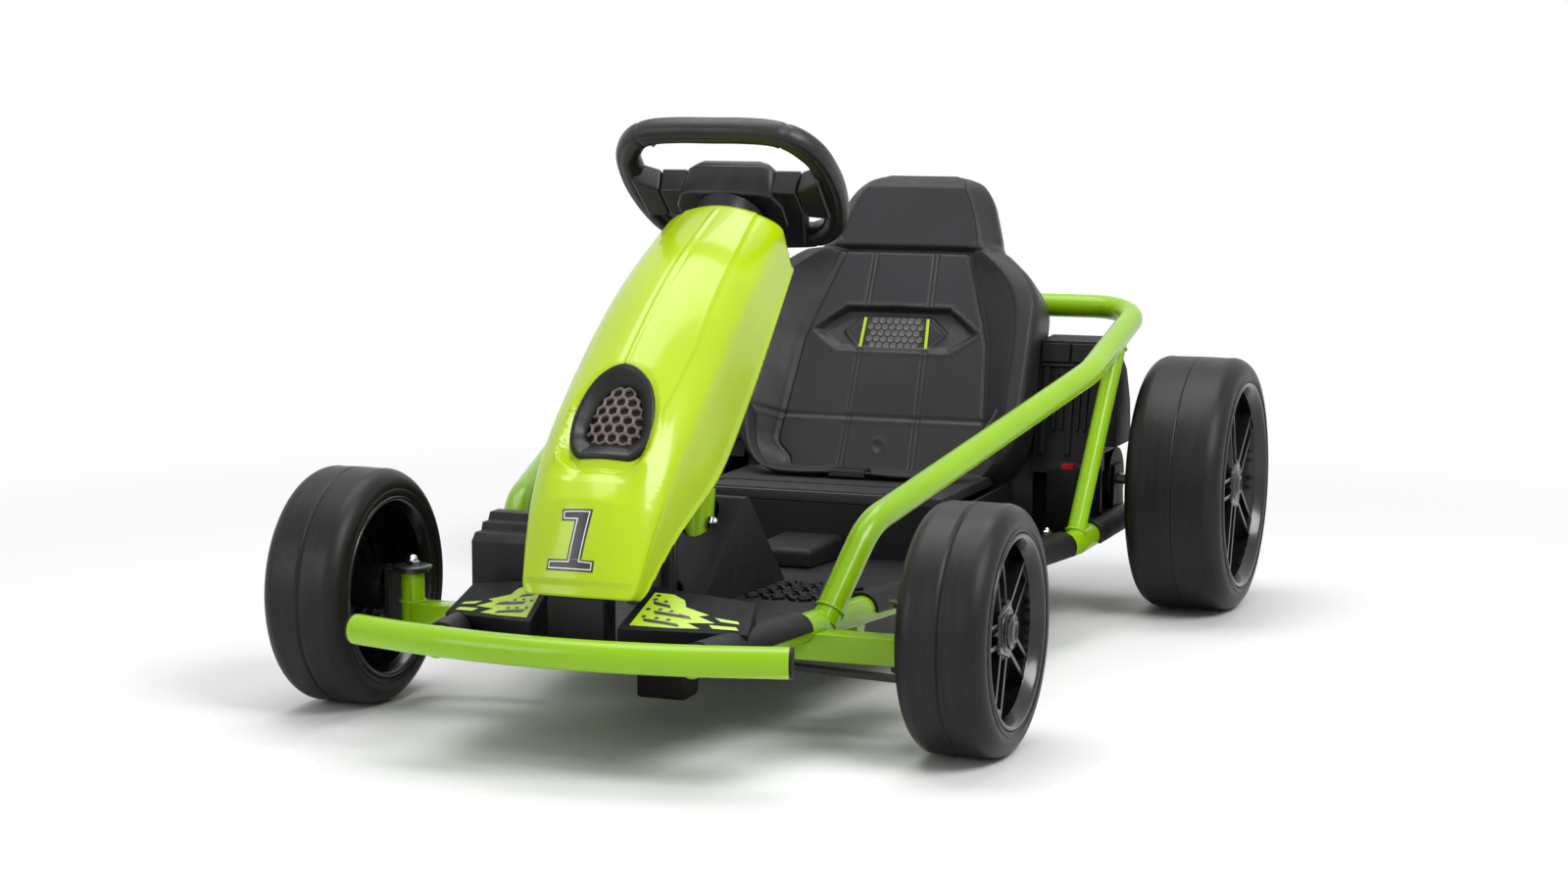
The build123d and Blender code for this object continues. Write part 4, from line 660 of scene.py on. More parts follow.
def seat_relief(y, v):
    """Sewn-look grooves, the sunk eye and its badge, the fold across the lower back."""
    height = 0.0
    seam = SEAM_FOOT_Y + (SEAM_TOP_Y - SEAM_FOOT_Y) * (v + 10) / 262
    if v < 139 or 189 < v < 253:
        for line in (-2.3, 2.3):
            height -= 1.5 * ridge(abs(y) - seam - line, 2.6)
        height += 0.4 * ridge(abs(y) - seam, 3.0)
    height -= 2.0 * ridge(v - 62, 4.0)
    height += 0.9 * ridge(v - 57, 5.0)
    dent = math.hypot(y, v - 28.8)
    height -= 1.6 * ridge(dent, 8.0) - 0.7 * ridge(dent - 8, 4.0)
    height += 1.6 * (1 - (y / 110)**2) * ease(v, 62, 110)
    if 130 < v < 196 and abs(y) < 100:
        gap = loop_distance(EYE_LOOP, y, v)
        deep = 3.2 + 6.0 * ease(v, 140, 184)
        height -= deep * ease(gap, 0.0, 4.5 + 5.0 * (1 - ease(v, 150, 184)))
        height += 0.8 * ridge(gap + 1.5, 4.0)
        inner = loop_distance(BADGE_LOOP, y, v)
        height += (deep - 2.2) * ease(inner, -2.0, 1.5)
        height -= 0.9 * ridge(inner - 4.2, 1.8)
    if v > 236:
        height -= 8.0 * ridge(v - 258, 6.5)
    return height


# columns: how many points the stretch gets, between the profile's marks
SEAT_SPANS = (78, 4, 14, 6, 8, 6, 4, 6)
SEAT_STEPS = np.r_[np.arange(SEAT_FOOT_V, 131, 2.0), np.arange(132.4, 194, 1.4), np.arange(195, 250, 1.9),
                   np.arange(250, 268, 1.0), np.arange(269, 353, 1.7), SEAT_TOP_V]


def seat_marks(v):
    """Profile of the seat at a height up the back, with the edges of its panel and of its side."""
    spread = 7.0 * ease(v, SEAT_FOOT_V, 0) * (1 - ease(v, 340, SEAT_TOP_V))
    spread *= 1 - 0.7 * ease(v, 246, 258) * (1 - ease(v, 276, 290))
    near = np.linspace(v - spread, v + spread, 9)
    outer, inner, panel, rise, behind = (float(np.mean(np.interp(near, seat_table[:, 0], seat_table[:, k])))
                                         for k in range(1, 6))
    top = PANEL_RISE - max(0.0, (v - 333) * 0.9)
    edge = rise - behind
    marks = ((0, top), (panel - 1.5, top), (panel + 2.0, top - 1.0 * (v < NECK_V)), (inner, rise - 1.5),
             (inner + 4, rise), (outer - 6, edge + 1), (outer, edge - 6), (outer, SEAT_BACK + 6),
             (outer - 7, SEAT_BACK))
    return marks, panel, outer


def seat_row(v):
    """One row of the seat's mesh, from its left edge to its right."""
    marks, panel, outer = seat_marks(v)
    half_row = []
    for span, start, stop in zip(SEAT_SPANS, marks, marks[1:]):
        for s in np.linspace(0, 1, span, endpoint=False):
            half_row.append((start[0] + (stop[0] - start[0]) * s, start[1] + (stop[1] - start[1]) * s))
    half = np.array([*half_row, marks[-1]])
    first = SEAT_SPANS[0] - 2
    heights = half[:, 1].copy()
    for _ in range(3):
        heights[first + 4:-1] = (heights[first + 3:-2] + 2 * heights[first + 4:-1] + heights[first + 5:]) / 4
    if v < NECK_V:
        for depth, out in ((1.6, 0.5), (1.2, 4.5)):
            groove = depth * np.exp(-((half[:, 0] - panel - out) / 1.3)**2)
            heights[:first + 30] -= groove[:first + 30]
    points = []
    for (y, _), height in zip(half, heights):
        if height > -8:
            height += seat_relief(y, v) * (1 - ease(abs(y), panel + 6, outer) * (v < 250))
        points.append((y, height))
    return [seat_at(y, v, h) for y, h in points[::-1]] + [seat_at(-y, v, h) for y, h in points[1:]]


seat_rows = [seat_row(v) for v in SEAT_STEPS]
verts, faces = bridge(seat_rows)
width = len(seat_rows[0])
for end in (0, len(seat_rows) - 1):
    ring = [end * width + j for j in range(width)]
    verts.append(sum((np.array(verts[k]) for k in ring), np.zeros(3)) / width)
    faces += [(ring[j], ring[(j + 1) % width], len(verts) - 1) for j in range(width)]
for i in range(len(seat_rows) - 1):
    faces.append((i * width, i * width + width - 1, (i + 1) * width + width - 1, (i + 1) * width))
seat = piece("seat_body", verts, faces, "seat")
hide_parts("seat_shell", "seat_back_panel", "headrest_panel", "seat_plate")

# Lime bars and honeycomb of the badge in the seat's back
for side_name, side in SIDES:
    bar_verts = []
    for y in (35.2, 38.4):
        for v, lift in ((142.5, 0.4), (142.5, 1.4), (176.8, 1.4), (176.8, 0.4)):
            base = PANEL_RISE + seat_relief(side * 36.8, 160)
            lean = (v - 160) / 20
            bar_verts.append(seat_at(side * (y - lean), v, base + lift))
    bar_faces = [(0, 1, 5, 4), (1, 2, 6, 5), (2, 3, 7, 6), (0, 1, 2, 3), (4, 5, 6, 7)]
    piece(f"badge_bar_{side_name}", bar_verts, bar_faces, "ink_lime", smooth=False)
COMB = 8.2
COMB_RINGS = ((COMB * 0.54, 0.1), (COMB * 0.46, 1.0), (COMB * 0.30, 0.7), (0.1, 0.5))
comb_floor = PANEL_RISE + seat_relief(12, 160)
verts, faces = honeycomb(COMB, 2, 159.5, COMB_RINGS, lambda y, v: abs(y) <= 31 and inside(BADGE_LOOP, y, v),
                         lambda y, v, height: seat_at(y, v, comb_floor + height))
piece("badge_comb", verts, faces, "comb", smooth=False)


# Rounded hard parts
EDGE_ANGLE = math.radians(32)


def round_edges(obj, width, segments=3):
    """Bevels the sharp edges of a piece and keeps its flats flat."""
    modify(obj, "BEVEL", "edge", width=width * MM, segments=segments, limit_method="ANGLE",
           angle_limit=EDGE_ANGLE, harden_normals=True)


def block(name, low, high, bevel, material="black", body="chassis"):
    """A solid between two rings of corners in millimetres, with rounded edges."""
    count = len(low)
    verts = [np.array(p, float) * MM for p in (*low, *high)]
    faces = [tuple(range(count)), tuple(range(count, 2 * count))]
    faces += [(i, (i + 1) % count, count + (i + 1) % count, count + i) for i in range(count)]
    obj = piece(name, verts, faces, material, body)
    round_edges(obj, bevel)
    return obj


def softened(node, width, material, body="chassis", segments=3):
    """A copy of a hard CAD piece with rounded edges, which stands for it."""
    data = NODES[node].data.copy()
    data.name = f"{node}_moulded"
    data.materials.clear()
    data.materials.append(M[material])
    obj = bpy.data.objects.new(f"{node}_moulded", data)
    scene.collection.objects.link(obj)
    work = bmesh.new()
    work.from_mesh(data)
    bmesh.ops.remove_doubles(work, verts=work.verts, dist=0.00002)
    bmesh.ops.dissolve_limit(work, angle_limit=math.radians(1.0), verts=work.verts, edges=work.edges)
    work.to_mesh(data)
    work.free()
    for polygon in data.polygons:
        polygon.use_smooth = True
    round_edges(obj, width, segments)
    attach(obj, body)
    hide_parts(node)


def turned(name, profile, centre, axis, material, body="chassis", segments=96, smooth=True):
    """A turned piece: profile of radius and distance along an axis, in millimetres."""
    axis = unit(axis)
    side_a = unit(np.cross(UP if abs(axis[2]) < 0.9 else (1.0, 0.0, 0.0), axis))
    side_b = np.cross(axis, side_a)
    rows = []
    for k in range(segments):
        angle = 2 * math.pi * k / segments
        spoke = side_a * math.cos(angle) + side_b * math.sin(angle)
        rows.append([(np.array(centre) + spoke * r + axis * a) * MM for r, a in profile])
    verts, faces = bridge(rows)
    width = len(profile)
    last = (segments - 1) * width
    faces += [(last + j, last + j + 1, j + 1, j) for j in range(width - 1)]
    return piece(name, verts, faces, material, body, smooth)


def sweep(name, path, radius, material, sides):
    """A closed round bar along points in millimetres; the radius is one value or one per point."""
    path = np.array(path, float)
    radii = np.broadcast_to(np.array(radius, float), len(path))
    along = unit(np.roll(path, -1, 0) - np.roll(path, 1, 0))
    guide = UP if np.max(np.abs(along @ UP)) <= 0.95 else (0.0, 1.0, 0.0)
    turns = [2 * math.pi * k / sides for k in range(sides)]
    rows = []
    for point, way, r in zip(path, along, radii):
        a = unit(np.cross(way, guide))
        b = np.cross(way, a)
        rows.append([(point + r * (a * math.cos(turn) + b * math.sin(turn))) * MM for turn in turns])
    rows.append(rows[0])
    verts, faces = bridge(rows, closed_rows=True)
    piece(name, verts, faces, material)


def hex_nut(name, at, axis, across, tall, body="chassis"):
    """A plated nut or bolt head with a chamfered rim and a domed end."""
    radius = across / 2 / math.cos(math.radians(30))
    profile = [(0.1, 0), (radius, 0), (radius, tall * 0.8), (radius * 0.86, tall), (0.1, tall)]
    turned(f"{name}_hex", profile, at, axis, "chrome", body, segments=6, smooth=False)
    top = np.array(at, float) + unit(axis) * tall
    bow = across * 0.42
    arc = [(bow * math.cos(a), bow * math.sin(a)) for a in np.linspace(0, math.pi / 2 - 0.03, 8)]
    turned(f"{name}_dome", arc, top, axis, "chrome", body, segments=24)


# columns: node, edge radius in millimetres, material
SOFTENED = (
    ("floor_hump", 3.5, "floor"), ("floor_box", 2.5, "floor"),
    ("side_pod_left", 3.0, "black"), ("side_pod_right", 3.0, "black"),
    ("rear_housing", 7.0, "black"), ("pedal_box", 3.0, "floor"), ("pedal", 2.2, "black"),
    ("nose_mount", 2.0, "black"), ("steering_gear_housing", 2.0, "black"),
    ("front_beam", 1.8, "lime"), ("footplate_left", 2.6, "plate"), ("footplate_right", 2.6, "plate"),
)
for node_name, edge, look_key in SOFTENED:
    softened(node_name, edge, look_key)

# Wheels: a slick tyre with a moulding seam, a softened rim with rolled flanges, a stepped hub cap
FRONT_AXLE_X = 320.5
# columns: place, x and height of the axle, radius, half width, radius of the tyre's seat,
# rounding of the shoulder, half track
WHEELS = (
    ("front", FRONT_AXLE_X, 109.0, 109.0, 40.5, 84.0, 17.0, 299.0),
    ("rear", -409.5, 136.0, 136.0, 52.75, 110.0, 20.0, 327.0),
)
# degrees round the shoulder at which its arc starts, where the side wall's ring ends
SHOULDER_START = {"front": 12, "rear": 24}


def tyre_profile(radius, half, seat_r, shoulder, start):
    """Closed outline of a tyre's section: bead, ring on the side wall, shoulder, tread and seam."""
    outline = [(seat_r + 0.2, half - 9), (seat_r + 0.4, half - 3.4), (seat_r + 1.6, half - 1.4),
               (seat_r + 3.0, half - 1.6), (seat_r + 4.0, half - 1.5), (seat_r + 4.6, half - 0.3),
               (seat_r + 5.8, half - 0.2), (seat_r + 6.4, half - 1.4), (seat_r + 7.4, half - 1.3)]
    for angle in np.radians(np.linspace(start, 86, 12)):
        outline.append((radius - shoulder + shoulder * math.sin(angle),
                        half - 0.4 - shoulder + shoulder * math.cos(angle)))
    for share in (0.85, 0.6, 0.35, 0.16, 0.06):
        outline.append((radius - 0.5 * share * share, (half - shoulder) * share))
    outline += [(radius - 0.05, 1.4), (radius + 0.10, 0.8), (radius - 1.1, 0.22)]
    return outline + [(r, -a) for r, a in outline[::-1]]


for place, axle_x, axle_z, radius, half, seat_r, shoulder, half_track in WHEELS:
    for side_name, side in SIDES:
        body = f"wheel_{place}_{side_name}"
        centre = (axle_x, side * half_track, axle_z)
        profile = tyre_profile(radius, half, seat_r, shoulder, SHOULDER_START[place])
        axis = (0, side, 0)
        tyre = turned(f"tyre_{place}_{side_name}_slick", profile, centre, axis, "tyre", body, segments=144)
        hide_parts(f"tyre_{place}_{side_name}")
        softened(f"rim_{place}_{side_name}", 1.3, "rim", body, segments=2)
        flange = [(seat_r - 8.5, half - 12.5), (seat_r - 7.8, half - 11.0), (seat_r - 5.2, half - 4.0),
                  (seat_r - 3.4, half - 1.2), (seat_r - 1.6, half - 0.5), (seat_r + 0.3, half - 1.4),
                  (seat_r + 0.4, half - 4)]
        for way, where in (("outer", 1), ("inner", -1)):
            turned(f"flange_{place}_{side_name}_{way}", flange, centre, (0, side * where, 0), "rim", body)
        face = half - 12
        crown = max(face, 29) + 1.0
        star = [(27.5, face - 9), (27.5, face - 0.5), (25.5, face + 1.4), (18.6, crown), (18.2, crown - 4)]
        turned(f"hub_star_{place}_{side_name}", star, centre, axis, "rim", body, segments=5, smooth=False)
        top = max(35.2, crown + 2.2)
        cap = [(18.4, crown - 5), (18.4, crown + 0.4), (16.4, crown + 1.4), (15.6, crown + 0.4),
               (14.8, top - 1.4), (13.6, top), (9.8, top + 0.2), (9.2, top + 1.6), (7.4, top + 1.8),
               (6.8, top + 0.2), (0.1, top)]
        turned(f"hub_cap_{place}_{side_name}", cap, centre, axis, "rim", body, segments=48)


# Steering wheel
HUB = np.array((121.1, 0.0, 458.0))
WHEEL_LEAN = math.radians(42)
WHEEL_OUT = np.array((-math.sin(WHEEL_LEAN), 0.0, math.cos(WHEEL_LEAN)))
WHEEL_UP = np.array((math.cos(WHEEL_LEAN), 0.0, math.sin(WHEEL_LEAN)))


def on_wheel(y, up, out):
    """Point of the steering wheel: across, up its plane and out of it, in millimetres."""
    return HUB + WHEEL_UP * up + WHEEL_OUT * out + np.array((0.0, y, 0.0))


RIM_HALF = ((0, -62), (34, -62), (66, -58), (84, -44), (93, -22), (98, 6), (98, 32), (93, 58), (80, 77),
            (60, 87), (32, 90), (0, 90))
RIM_RADIUS = 11.3
RIM_OUT = 11
RIM_SIDES = 40
rim_curve = mirrored_loop(RIM_HALF, 220)
rim_along = unit(np.roll(rim_curve, -1, 0) - np.roll(rim_curve, 1, 0))
rim_rows = []
for (y, up), (ay, au) in zip(rim_curve, rim_along):
    outward = np.array((au, -ay))
    # bulges for the hands in the upper corners, and seams across the grip
    grip = 3.2 * ridge(math.hypot(abs(y) - 78, up - 62), 26)
    grip += 2.6 * ridge(math.hypot(abs(y) - 90, up - 34), 16)
    seam_across = 0.9 * (ridge(abs(y) - 70, 2.2) * (up > 60) + ridge(abs(y) - 62, 2.2) * (up < -40))
    row = []
    for k in range(RIM_SIDES):
        angle = 2 * math.pi * k / RIM_SIDES
        c, s = math.cos(angle), math.sin(angle)
        shape = (abs(c)**2.5 + abs(s)**2.5)**(-1 / 2.5)
        r = RIM_RADIUS * shape
        if c < -0.2:
            r += grip * (-c - 0.2) / 0.8
        # two seams that run along the rim
        turn = math.degrees(math.atan2(s, c))
        r -= 1.3 * ridge(turn - 62, 11) + 1.3 * ridge(turn + 62, 11)
        r -= seam_across
        row.append(on_wheel(y + outward[0] * r * c, up + outward[1] * r * c, RIM_OUT + r * s) * MM)
    rim_rows.append(row)
rim_rows.append(rim_rows[0])
verts, faces = bridge(rim_rows, closed_rows=True)
rim_piece = piece("wheel_rim", verts, faces, "wheel_grip", "steering_wheel")
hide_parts("steering_wheel_rim")


def wheel_block(name, low, low_out, high, high_out, bevel):
    """A rounded solid of the steering wheel between two heights."""
    return block(name, [on_wheel(y, u, low_out) for y, u in low], [on_wheel(y, u, high_out) for y, u in high],
                 bevel, "wheel_grip", "steering_wheel")


def grown(outline, share):
    """Outline of y and height scaled about the wheel's middle."""
    return [(y * share, u * share) for y, u in outline]


HOUSING_LOW = ((-46, -30), (46, -30), (52, -20), (54, 8), (46, 24), (34, 28), (-34, 28), (-46, 24),
               (-54, 8), (-52, -20))
HOUSING_HIGH = ((-40, -40), (40, -40), (46, -32), (48, 16), (42, 30), (32, 35), (-32, 35), (-42, 30),
                (-48, 16), (-46, -32))
housing = wheel_block("wheel_housing", HOUSING_LOW, -12.5, HOUSING_HIGH, 18, 3.5)
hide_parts("steering_wheel_pad")
wheel_block("wheel_lid", grown(HOUSING_HIGH, 0.98), 17.4, grown(HOUSING_HIGH, 0.84), 26.5, 3.0)
# columns: name, lower outline and its height, upper outline and its height, edge radius
WHEEL_ARMS = (
    ("wheel_spoke", ((44, -15), (68, -15), (68, 22), (44, 23)), -6,
     ((44, -15), (70, -15), (70, 27), (44, 27)), 17.5, 2.0),
    ("wheel_spoke_end", ((68.6, -15), (92, -18), (94, 36), (68.6, 22)), -5,
     ((70.6, -15), (94, -18), (95, 39), (70.6, 27)), 16.5, 2.5),
    ("wheel_web", ((22, -10), (66, -10), (54, -64), (22, -64)), -2,
     ((22, -10), (68, -10), (56, -62), (22, -62)), 14, 3.0),
)
for side_name, side in SIDES:
    for name, low, low_out, high, high_out, edge in WHEEL_ARMS:
        wheel_block(f"{name}_{side_name}", [(side * y, u) for y, u in low], low_out,
                    [(side * y, u) for y, u in high], high_out, edge)
MIDDLE_WEB = ((-24, -20), (24, -20), (24, -62), (-24, -62))
wheel_block("wheel_web_middle", MIDDLE_WEB, -4, MIDDLE_WEB, 12, 2.0)
SCREW_PROFILE = [(0.1, 2.2), (1.6, 2.0), (2.4, 0.8), (2.5, -1.5)]
for y, up in ((0, 77.5), (-62, 72), (62, 72)):
    turned(f"wheel_screw_{y}", SCREW_PROFILE, on_wheel(y, up + 1.0, 8), -WHEEL_UP, "chrome",
           "steering_wheel", segments=16)


# Floor: rows of small raised studs in a zigzag
FLOOR_REAR_X = -95.0
FLOOR_REAR_Z = 87.0
FLOOR_SLOPE = math.tan(math.radians(2.5))
STUD_OUTLINE = ((-7.6, 0), (-4.6, -2.7), (4.6, -2.7), (7.6, 0), (4.6, 2.7), (-4.6, 2.7))
# columns: share of the outline, height over the floor
STUD_RINGS = ((1.0, -0.4), (1.0, 2.2), (0.78, 3.2))
studs = []
for row in range(9):
    for column in range(-9, 10):
        cx = 210 - row * 12.5
        cy = column * 13.0 + (6.5 if row % 2 else 0)
        if abs(cy) < 44 or abs(cy) > 128 or (abs(cy) > 118 and row < 2):
            continue
        floor_top = FLOOR_REAR_Z + (cx - FLOOR_REAR_X) * FLOOR_SLOPE
        turn = math.radians(35 if (row + column) % 2 else -35)
        c, s = math.cos(turn), math.sin(turn)
        turned_outline = np.array([(x * c - y * s, x * s + y * c) for x, y in STUD_OUTLINE])
        rings = []
        for share, height in STUD_RINGS:
            rings.append([np.array((cx + x, cy + y, floor_top + height)) * MM
                          for x, y in share * turned_outline])
        verts, faces = bridge(rings, closed_rows=True)
        faces.append(tuple(range(12, 18)))
        studs.append((verts, faces))
piece("floor_studs", *joined(studs), "black", smooth=False)


# Lap belt: flat webbing from the seat's sides to a buckle in the middle
STRAP_WIDTH = 27
STRAP_THICK = 1.9
STRAP_ACROSS = (1, 0, 0.35)
# shares of half the width and of half the thickness, round the strap's section
STRAP_SECTION = ((-1, -1), (-0.5, -1.15), (0, -1), (0.5, -1.15), (1, -1), (1, 1), (0.5, 1.15), (0, 1),
                 (-0.5, 1.15), (-1, 1))
BELT_HALF = ((-205, 20, 155.5), (-205, 56, 154), (-206, 82, 155), (-213, 101, 160), (-230, 118, 173),
             (-250, 130, 190), (-268, 137, 205), (-278, 140, 214))


def strap(name, path):
    """A flat strap along points in millimetres, its width along a fixed direction."""
    line = loop_through(path, 64, closed=False)
    across = unit(STRAP_ACROSS)
    rows = []
    for point, way in zip(line, unit(np.gradient(line, axis=0))):
        flat = unit(across - way * float(across @ way))
        up = np.cross(way, flat)
        rows.append([(point + flat * a * STRAP_WIDTH / 2 + up * b * STRAP_THICK / 2) * MM
                     for a, b in STRAP_SECTION])
    verts, faces = bridge(rows, closed_rows=True)
    faces += [tuple(range(10)), tuple(range(len(verts) - 10, len(verts)))]
    return piece(name, verts, faces, "webbing")


def rectangle(x0, x1, half, z):
    """Corners of a level rectangle about the middle line."""
    return [(x0, -half, z), (x1, -half, z), (x1, half, z), (x0, half, z)]


for side_name, side in SIDES:
    belt = strap(f"belt_{side_name}_webbing", [(x, side * y, z) for x, y, z in BELT_HALF])
    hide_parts(f"belt_{side_name}")
buckle = block("buckle_case", rectangle(-219, -191, 21, 153.6), rectangle(-217, -193, 19, 162.2), 2.4)
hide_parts("belt_buckle")

# Kingpins: washer and nut; bolts of the post's socket; feet of the seat on the frame
PIN_Y = 240
PIN_WASHER = [(5, 128.4), (17.5, 128.4), (18.2, 129.4), (17.5, 130.4), (5, 130.6)]
SEAT_FOOT = [(3, 86.5), (8.5, 86.5), (8.0, 91.5), (6.5, 93.6), (3, 93.8)]
for side_name, side in SIDES:
    body = f"knuckle_{side_name}"
    pin_y = side * PIN_Y
    turned(f"pin_washer_{side_name}", PIN_WASHER, (FRONT_AXLE_X, pin_y, 0), UP, "dark_steel", body,
           segments=48)
    hex_nut(f"pin_nut_{side_name}", (FRONT_AXLE_X, pin_y, 130.2), UP, 13, 5.0, body)
    hex_nut(f"socket_bolt_{side_name}", (217.5, side * 12.4, 170), (0, side, 0), 10, 4.4)
    foot_y = side * 197.0
    turned(f"seat_foot_{side_name}", SEAT_FOOT, (-272.0, foot_y, 0), UP, "black", segments=40)
    hex_nut(f"seat_foot_bolt_{side_name}", (-272.0, foot_y, 93.4), UP, 8.5, 3.6)


# Footplates: a generic print of bars and diamonds in lime on black
PLATE_CORNERS = ((430, 46, 147.0), (488, 40, 121.5), (447, 140, 116.5), (409, 133, 134.0))
# columns: material, corners as shares of the plate across and along
PLATE_PRINT = (
    ("ink_lime", ((0.07, 0.10), (0.40, 0.08), (0.62, 0.10), (0.50, 0.24), (0.72, 0.28), (0.56, 0.44),
                  (0.64, 0.50), (0.40, 0.66), (0.46, 0.74), (0.24, 0.92), (0.07, 0.90))),
    ("ink_lime", ((0.72, 0.12), (0.93, 0.10), (0.90, 0.20), (0.68, 0.22))),
    ("ink_lime", ((0.76, 0.34), (0.92, 0.30), (0.90, 0.38), (0.70, 0.44))),
    ("ink_lime", ((0.60, 0.62), (0.90, 0.52), (0.88, 0.60), (0.54, 0.74))),
    ("ink_lime", ((0.50, 0.84), (0.84, 0.74), (0.80, 0.82), (0.46, 0.92))),
)
# columns: place across and along of a bar's near corner, its length
PLATE_BARS = ((0.16, 0.20, 0.20), (0.32, 0.16, 0.14), (0.20, 0.40, 0.26), (0.42, 0.38, 0.10),
              (0.14, 0.62, 0.16))
PLATE_DIAMONDS = ((0.13, 0.32), (0.24, 0.30), (0.34, 0.28), (0.12, 0.50), (0.22, 0.52), (0.32, 0.50),
                  (0.12, 0.74), (0.22, 0.72), (0.12, 0.84))
GROUND_LIFT = 0.35
MOTIF_LIFT = 0.6


def on_plate(across, along, lift, side):
    """Point of a footplate's top at shares of its width and length."""
    rear_in, front_in, front_out, rear_out = (np.array(p, float) for p in PLATE_CORNERS)
    near = front_in + (rear_in - front_in) * along
    far = front_out + (rear_out - front_out) * along
    spot = near + (far - near) * across + np.array((0, 0, lift))
    return spot * (1, side, 1) * MM


def plate_bar(a, b, size):
    """Slanting bar of the print."""
    return (a, b), (a + size, b - 0.05), (a + size - 0.03, b + 0.03), (a - 0.03, b + 0.08)


def plate_diamond(a, b):
    """Small diamond of the print."""
    return (a - 0.025, b), (a, b - 0.035), (a + 0.025, b), (a, b + 0.035)


plate_shapes = [(look, corners, GROUND_LIFT) for look, corners in PLATE_PRINT]
plate_shapes += [("ink_black", plate_bar(*bar), MOTIF_LIFT) for bar in PLATE_BARS]
plate_shapes += [("ink_black", plate_diamond(*spot), MOTIF_LIFT) for spot in PLATE_DIAMONDS]
for side_name, side in SIDES:
    for index, (look_key, corners, lift) in enumerate(plate_shapes):
        piece(f"plate_print_{side_name}_{index}", [on_plate(a, b, lift, side) for a, b in corners],
              [tuple(range(len(corners)))], look_key, smooth=False)

# Side pods: ribs, a ledge and two raised panels on their sloping front face
POD_FACE = ((-325.6, 166.6), (-352.6, 290.0))


def on_pod(y, z, out):
    """Point of the pod's front face at a y and a height."""
    (x0, z0), (x1, z1) = POD_FACE
    slope = math.atan2(x0 - x1, z1 - z0)
    x = x0 + (x1 - x0) * (z - z0) / (z1 - z0)
    return np.array((x + out * math.cos(slope), y, z + out * math.sin(slope)))


def frame_ring(y0, y1, low, high):
    """Corners of a rectangle in y and z."""
    return (y0, low), (y1, low), (y1, high), (y0, high)


# columns: y of the rib, half its width, foot, top
POD_RIBS = ((175, 3.0, 170, 262), (186, 2.0, 196, 256), (194, 2.0, 196, 256), (203, 3.0, 170, 262),
            (212, 2.0, 196, 256), (220, 2.0, 196, 256), (230, 3.0, 170, 262))
# columns: name, foot, top, inner and outer y
POD_PANELS = (("ledge", 262, 265.5, 168, 235), ("crown_a", 267, 287, 168, 199),
              ("crown_b", 267, 287, 201, 234))


def pod_block(name, side, ring, out, edge):
    """A raised bar or panel on a pod's front face."""
    block(name, [on_pod(side * y, z, -1.0) for y, z in ring],
          [on_pod(side * y, z, out) for y, z in ring], edge)


for side_name, side in SIDES:
    for index, (y, half, foot, top) in enumerate(POD_RIBS):
        pod_block(f"pod_rib_{side_name}_{index}", side, frame_ring(y - half, y + half, foot, top), 3.6, 0.9)
    for name, low, high, y0, y1 in POD_PANELS:
        pod_block(f"pod_{name}_{side_name}", side, frame_ring(y0, y1, low, high), 4.2, 1.2)


# Rear housing: louvres between two posts, and four screws, on its back
HOUSING_BACK_X = -475.0
LOUVRES = 7
for index in range(LOUVRES):
    ring = frame_ring(-118, 118, 122 + 10 * index, 126.5 + 10 * index)
    block(f"housing_louvre_{index}", [(HOUSING_BACK_X + 1, y, z) for y, z in ring],
          [(HOUSING_BACK_X - 3.4, y * 0.985, z - 0.8) for y, z in ring], 1.0)
for side_name, side in SIDES:
    ring = frame_ring(side * 126, side * 131, 116, 196)
    block(f"housing_post_{side_name}", [(HOUSING_BACK_X + 1, y, z) for y, z in ring],
          [(HOUSING_BACK_X - 4, y, z) for y, z in ring], 1.2)
    for z in (122, 190):
        hex_nut(f"housing_screw_{side_name}_{z}", (HOUSING_BACK_X + 0.5, side * 146, z), (-1, 0, 0), 7, 2.6)


# Weld beads where tubes meet
def weld_bead(name, foot, towards, radius, reach):
    """A rippled bead round a tube, a reach away from its foot."""
    way = unit(towards - foot)
    a = unit(np.cross(way, UP if abs(way[2]) < 0.9 else (1.0, 0.0, 0.0)))
    b = np.cross(way, a)
    count = 72
    ring = [foot + way * reach + (radius + 0.4) * (a * math.cos(t) + b * math.sin(t))
            for t in np.linspace(0, 2 * math.pi, count, endpoint=False)]
    sizes = [1.35 + 0.3 * math.cos(k * math.pi / 1.5) for k in range(count)]
    sweep(name, ring, sizes, "lime", sides=8)


STRUT_FOOT = (-236, 235.3, 91.2)
STRUT_TOP = (-345, 253.5, 299)
# columns: name, foot of the tube, a point that it runs to, its radius, how far the bead is from the foot
WELDS = (
    ("weld_hoop", (297, 153, 99), (235, 174, 180), 12.7, 14),
    ("weld_strut", STRUT_FOOT, STRUT_TOP, 9.6, 13.5),
    ("weld_strut_top", STRUT_TOP, STRUT_FOOT, 9.6, 14),
    ("weld_pin", (FRONT_AXLE_X, PIN_Y, 85), (FRONT_AXLE_X, PIN_Y, 124), 10.8, 12.5),
)
for side_name, side in SIDES:
    for name, foot, towards, radius, reach in WELDS:
        weld_bead(f"{name}_{side_name}", np.array(foot) * (1, side, 1), np.array(towards) * (1, side, 1),
                  radius, reach)

# Seat base: rounded edges, and a lip round the shallow tray behind the floor box
softened("seat_cushion", 3.0, "seat_dark")
TRAY_EDGE = ((-106, -118), (-106, 0), (-106, 70), (-112, 84), (-128, 92), (-148, 92), (-154, 84), (-154, 0),
             (-154, -110), (-150, -122), (-128, -128), (-112, -126))
TRAY_Z = 152.0
sweep("seat_base_lip", [(x, y, TRAY_Z) for x, y in loop_through(TRAY_EDGE, 120)], 1.6, "floor", sides=10)


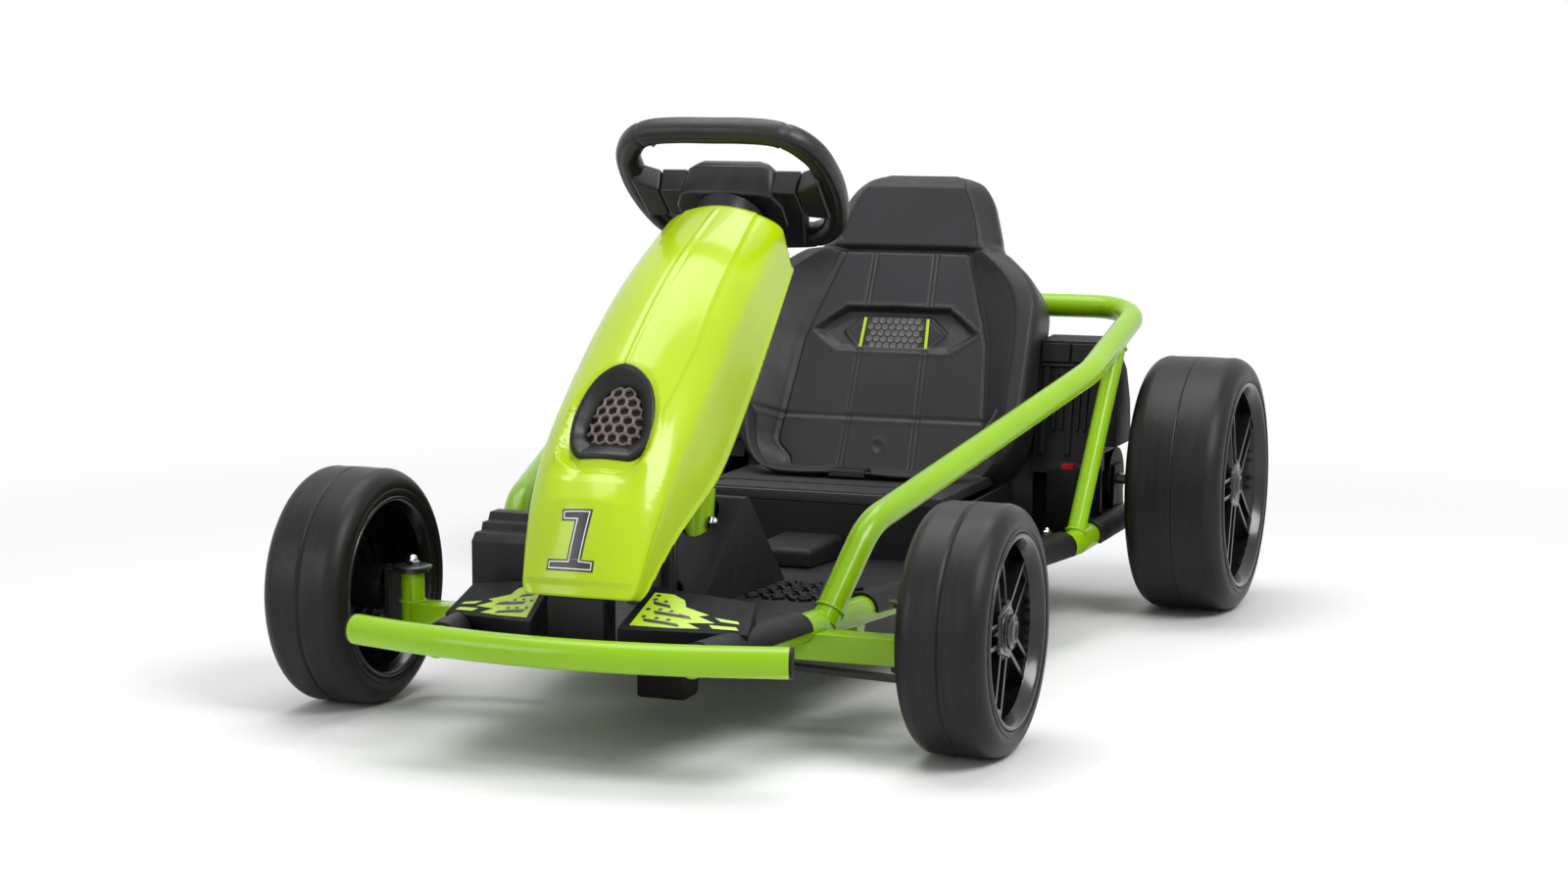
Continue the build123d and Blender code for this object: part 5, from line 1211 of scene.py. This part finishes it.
# Light, floor and white surroundings
def area_light(name, at, aim, size_x, size_y, power):
    """A soft rectangular lamp aimed at a point."""
    data = bpy.data.lights.new(name, "AREA")
    data.shape = "RECTANGLE"
    data.size = size_x
    data.size_y = size_y
    data.energy = power
    lamp = bpy.data.objects.new(name, data)
    lamp.location = at
    lamp.rotation_euler = (Vector(aim) - Vector(at)).to_track_quat("-Z", "Y").to_euler()
    scene.collection.objects.link(lamp)


def maths(tree, operation, first, second):
    """Output of a math node on two sockets."""
    node = tree.nodes.new("ShaderNodeMath")
    node.operation = operation
    tree.links.new(first, node.inputs[0])
    tree.links.new(second, node.inputs[1])
    return node.outputs[0]


def seen_directly(tree):
    """1 for camera, glossy and transmission rays, which see the white studio."""
    path = tree.nodes.new("ShaderNodeLightPath")
    through = maths(tree, "MAXIMUM", path.outputs["Is Camera Ray"], path.outputs["Is Transmission Ray"])
    return maths(tree, "MAXIMUM", through, path.outputs["Is Glossy Ray"])


world = bpy.data.worlds.new("studio")
scene.world = world
world.use_nodes = True
tree = world.node_tree
background = tree.nodes["Background"]
tree.links.new(ramp(tree, seen_directly(tree), 0, 1, 0.33, 1.0), background.inputs["Strength"])
background.inputs["Color"].default_value = (1, 1, 1, 1)

area_light("key", (1.0, 1.9, 2.3), (0, 0, 0.2), 1.5, 1.1, 56)
area_light("top", (-0.3, -0.3, 2.6), (0, 0, 0.1), 2.2, 1.5, 42)
area_light("side", (2.6, -1.6, 1.2), (0, 0, 0.25), 1.2, 1.2, 15)

floor_data = bpy.data.meshes.new("studio_floor")
REACH = 9
floor_data.from_pydata([(-REACH, -REACH, 0), (REACH, -REACH, 0), (REACH, REACH, 0), (-REACH, REACH, 0)], [],
                       [(0, 1, 2, 3)])
floor_mat, floor_tree, floor_shader, floor_where = node_tree("studio_floor")
floor_shader.inputs["Base Color"].default_value = (0.88, 0.88, 0.89, 1)
floor_shader.inputs["Roughness"].default_value = 0.6
glow = floor_tree.nodes.new("ShaderNodeEmission")
glow.inputs["Color"].default_value = (1, 1, 1, 1)
distance = floor_tree.nodes.new("ShaderNodeVectorMath")
distance.operation = "LENGTH"
floor_tree.links.new(floor_where, distance.inputs[0])
far = ramp(floor_tree, distance.outputs["Value"], 0.75, 1.7, 0, 1)
both = maths(floor_tree, "MULTIPLY", far, seen_directly(floor_tree))
floor_mix = floor_tree.nodes.new("ShaderNodeMixShader")
floor_tree.links.new(both, floor_mix.inputs[0])
floor_tree.links.new(floor_shader.outputs[0], floor_mix.inputs[1])
floor_tree.links.new(glow.outputs[0], floor_mix.inputs[2])
floor_tree.links.new(floor_mix.outputs[0], floor_tree.nodes["Material Output"].inputs["Surface"])
floor_data.materials.append(floor_mat)
studio_floor = bpy.data.objects.new("studio_floor", floor_data)
scene.collection.objects.link(studio_floor)
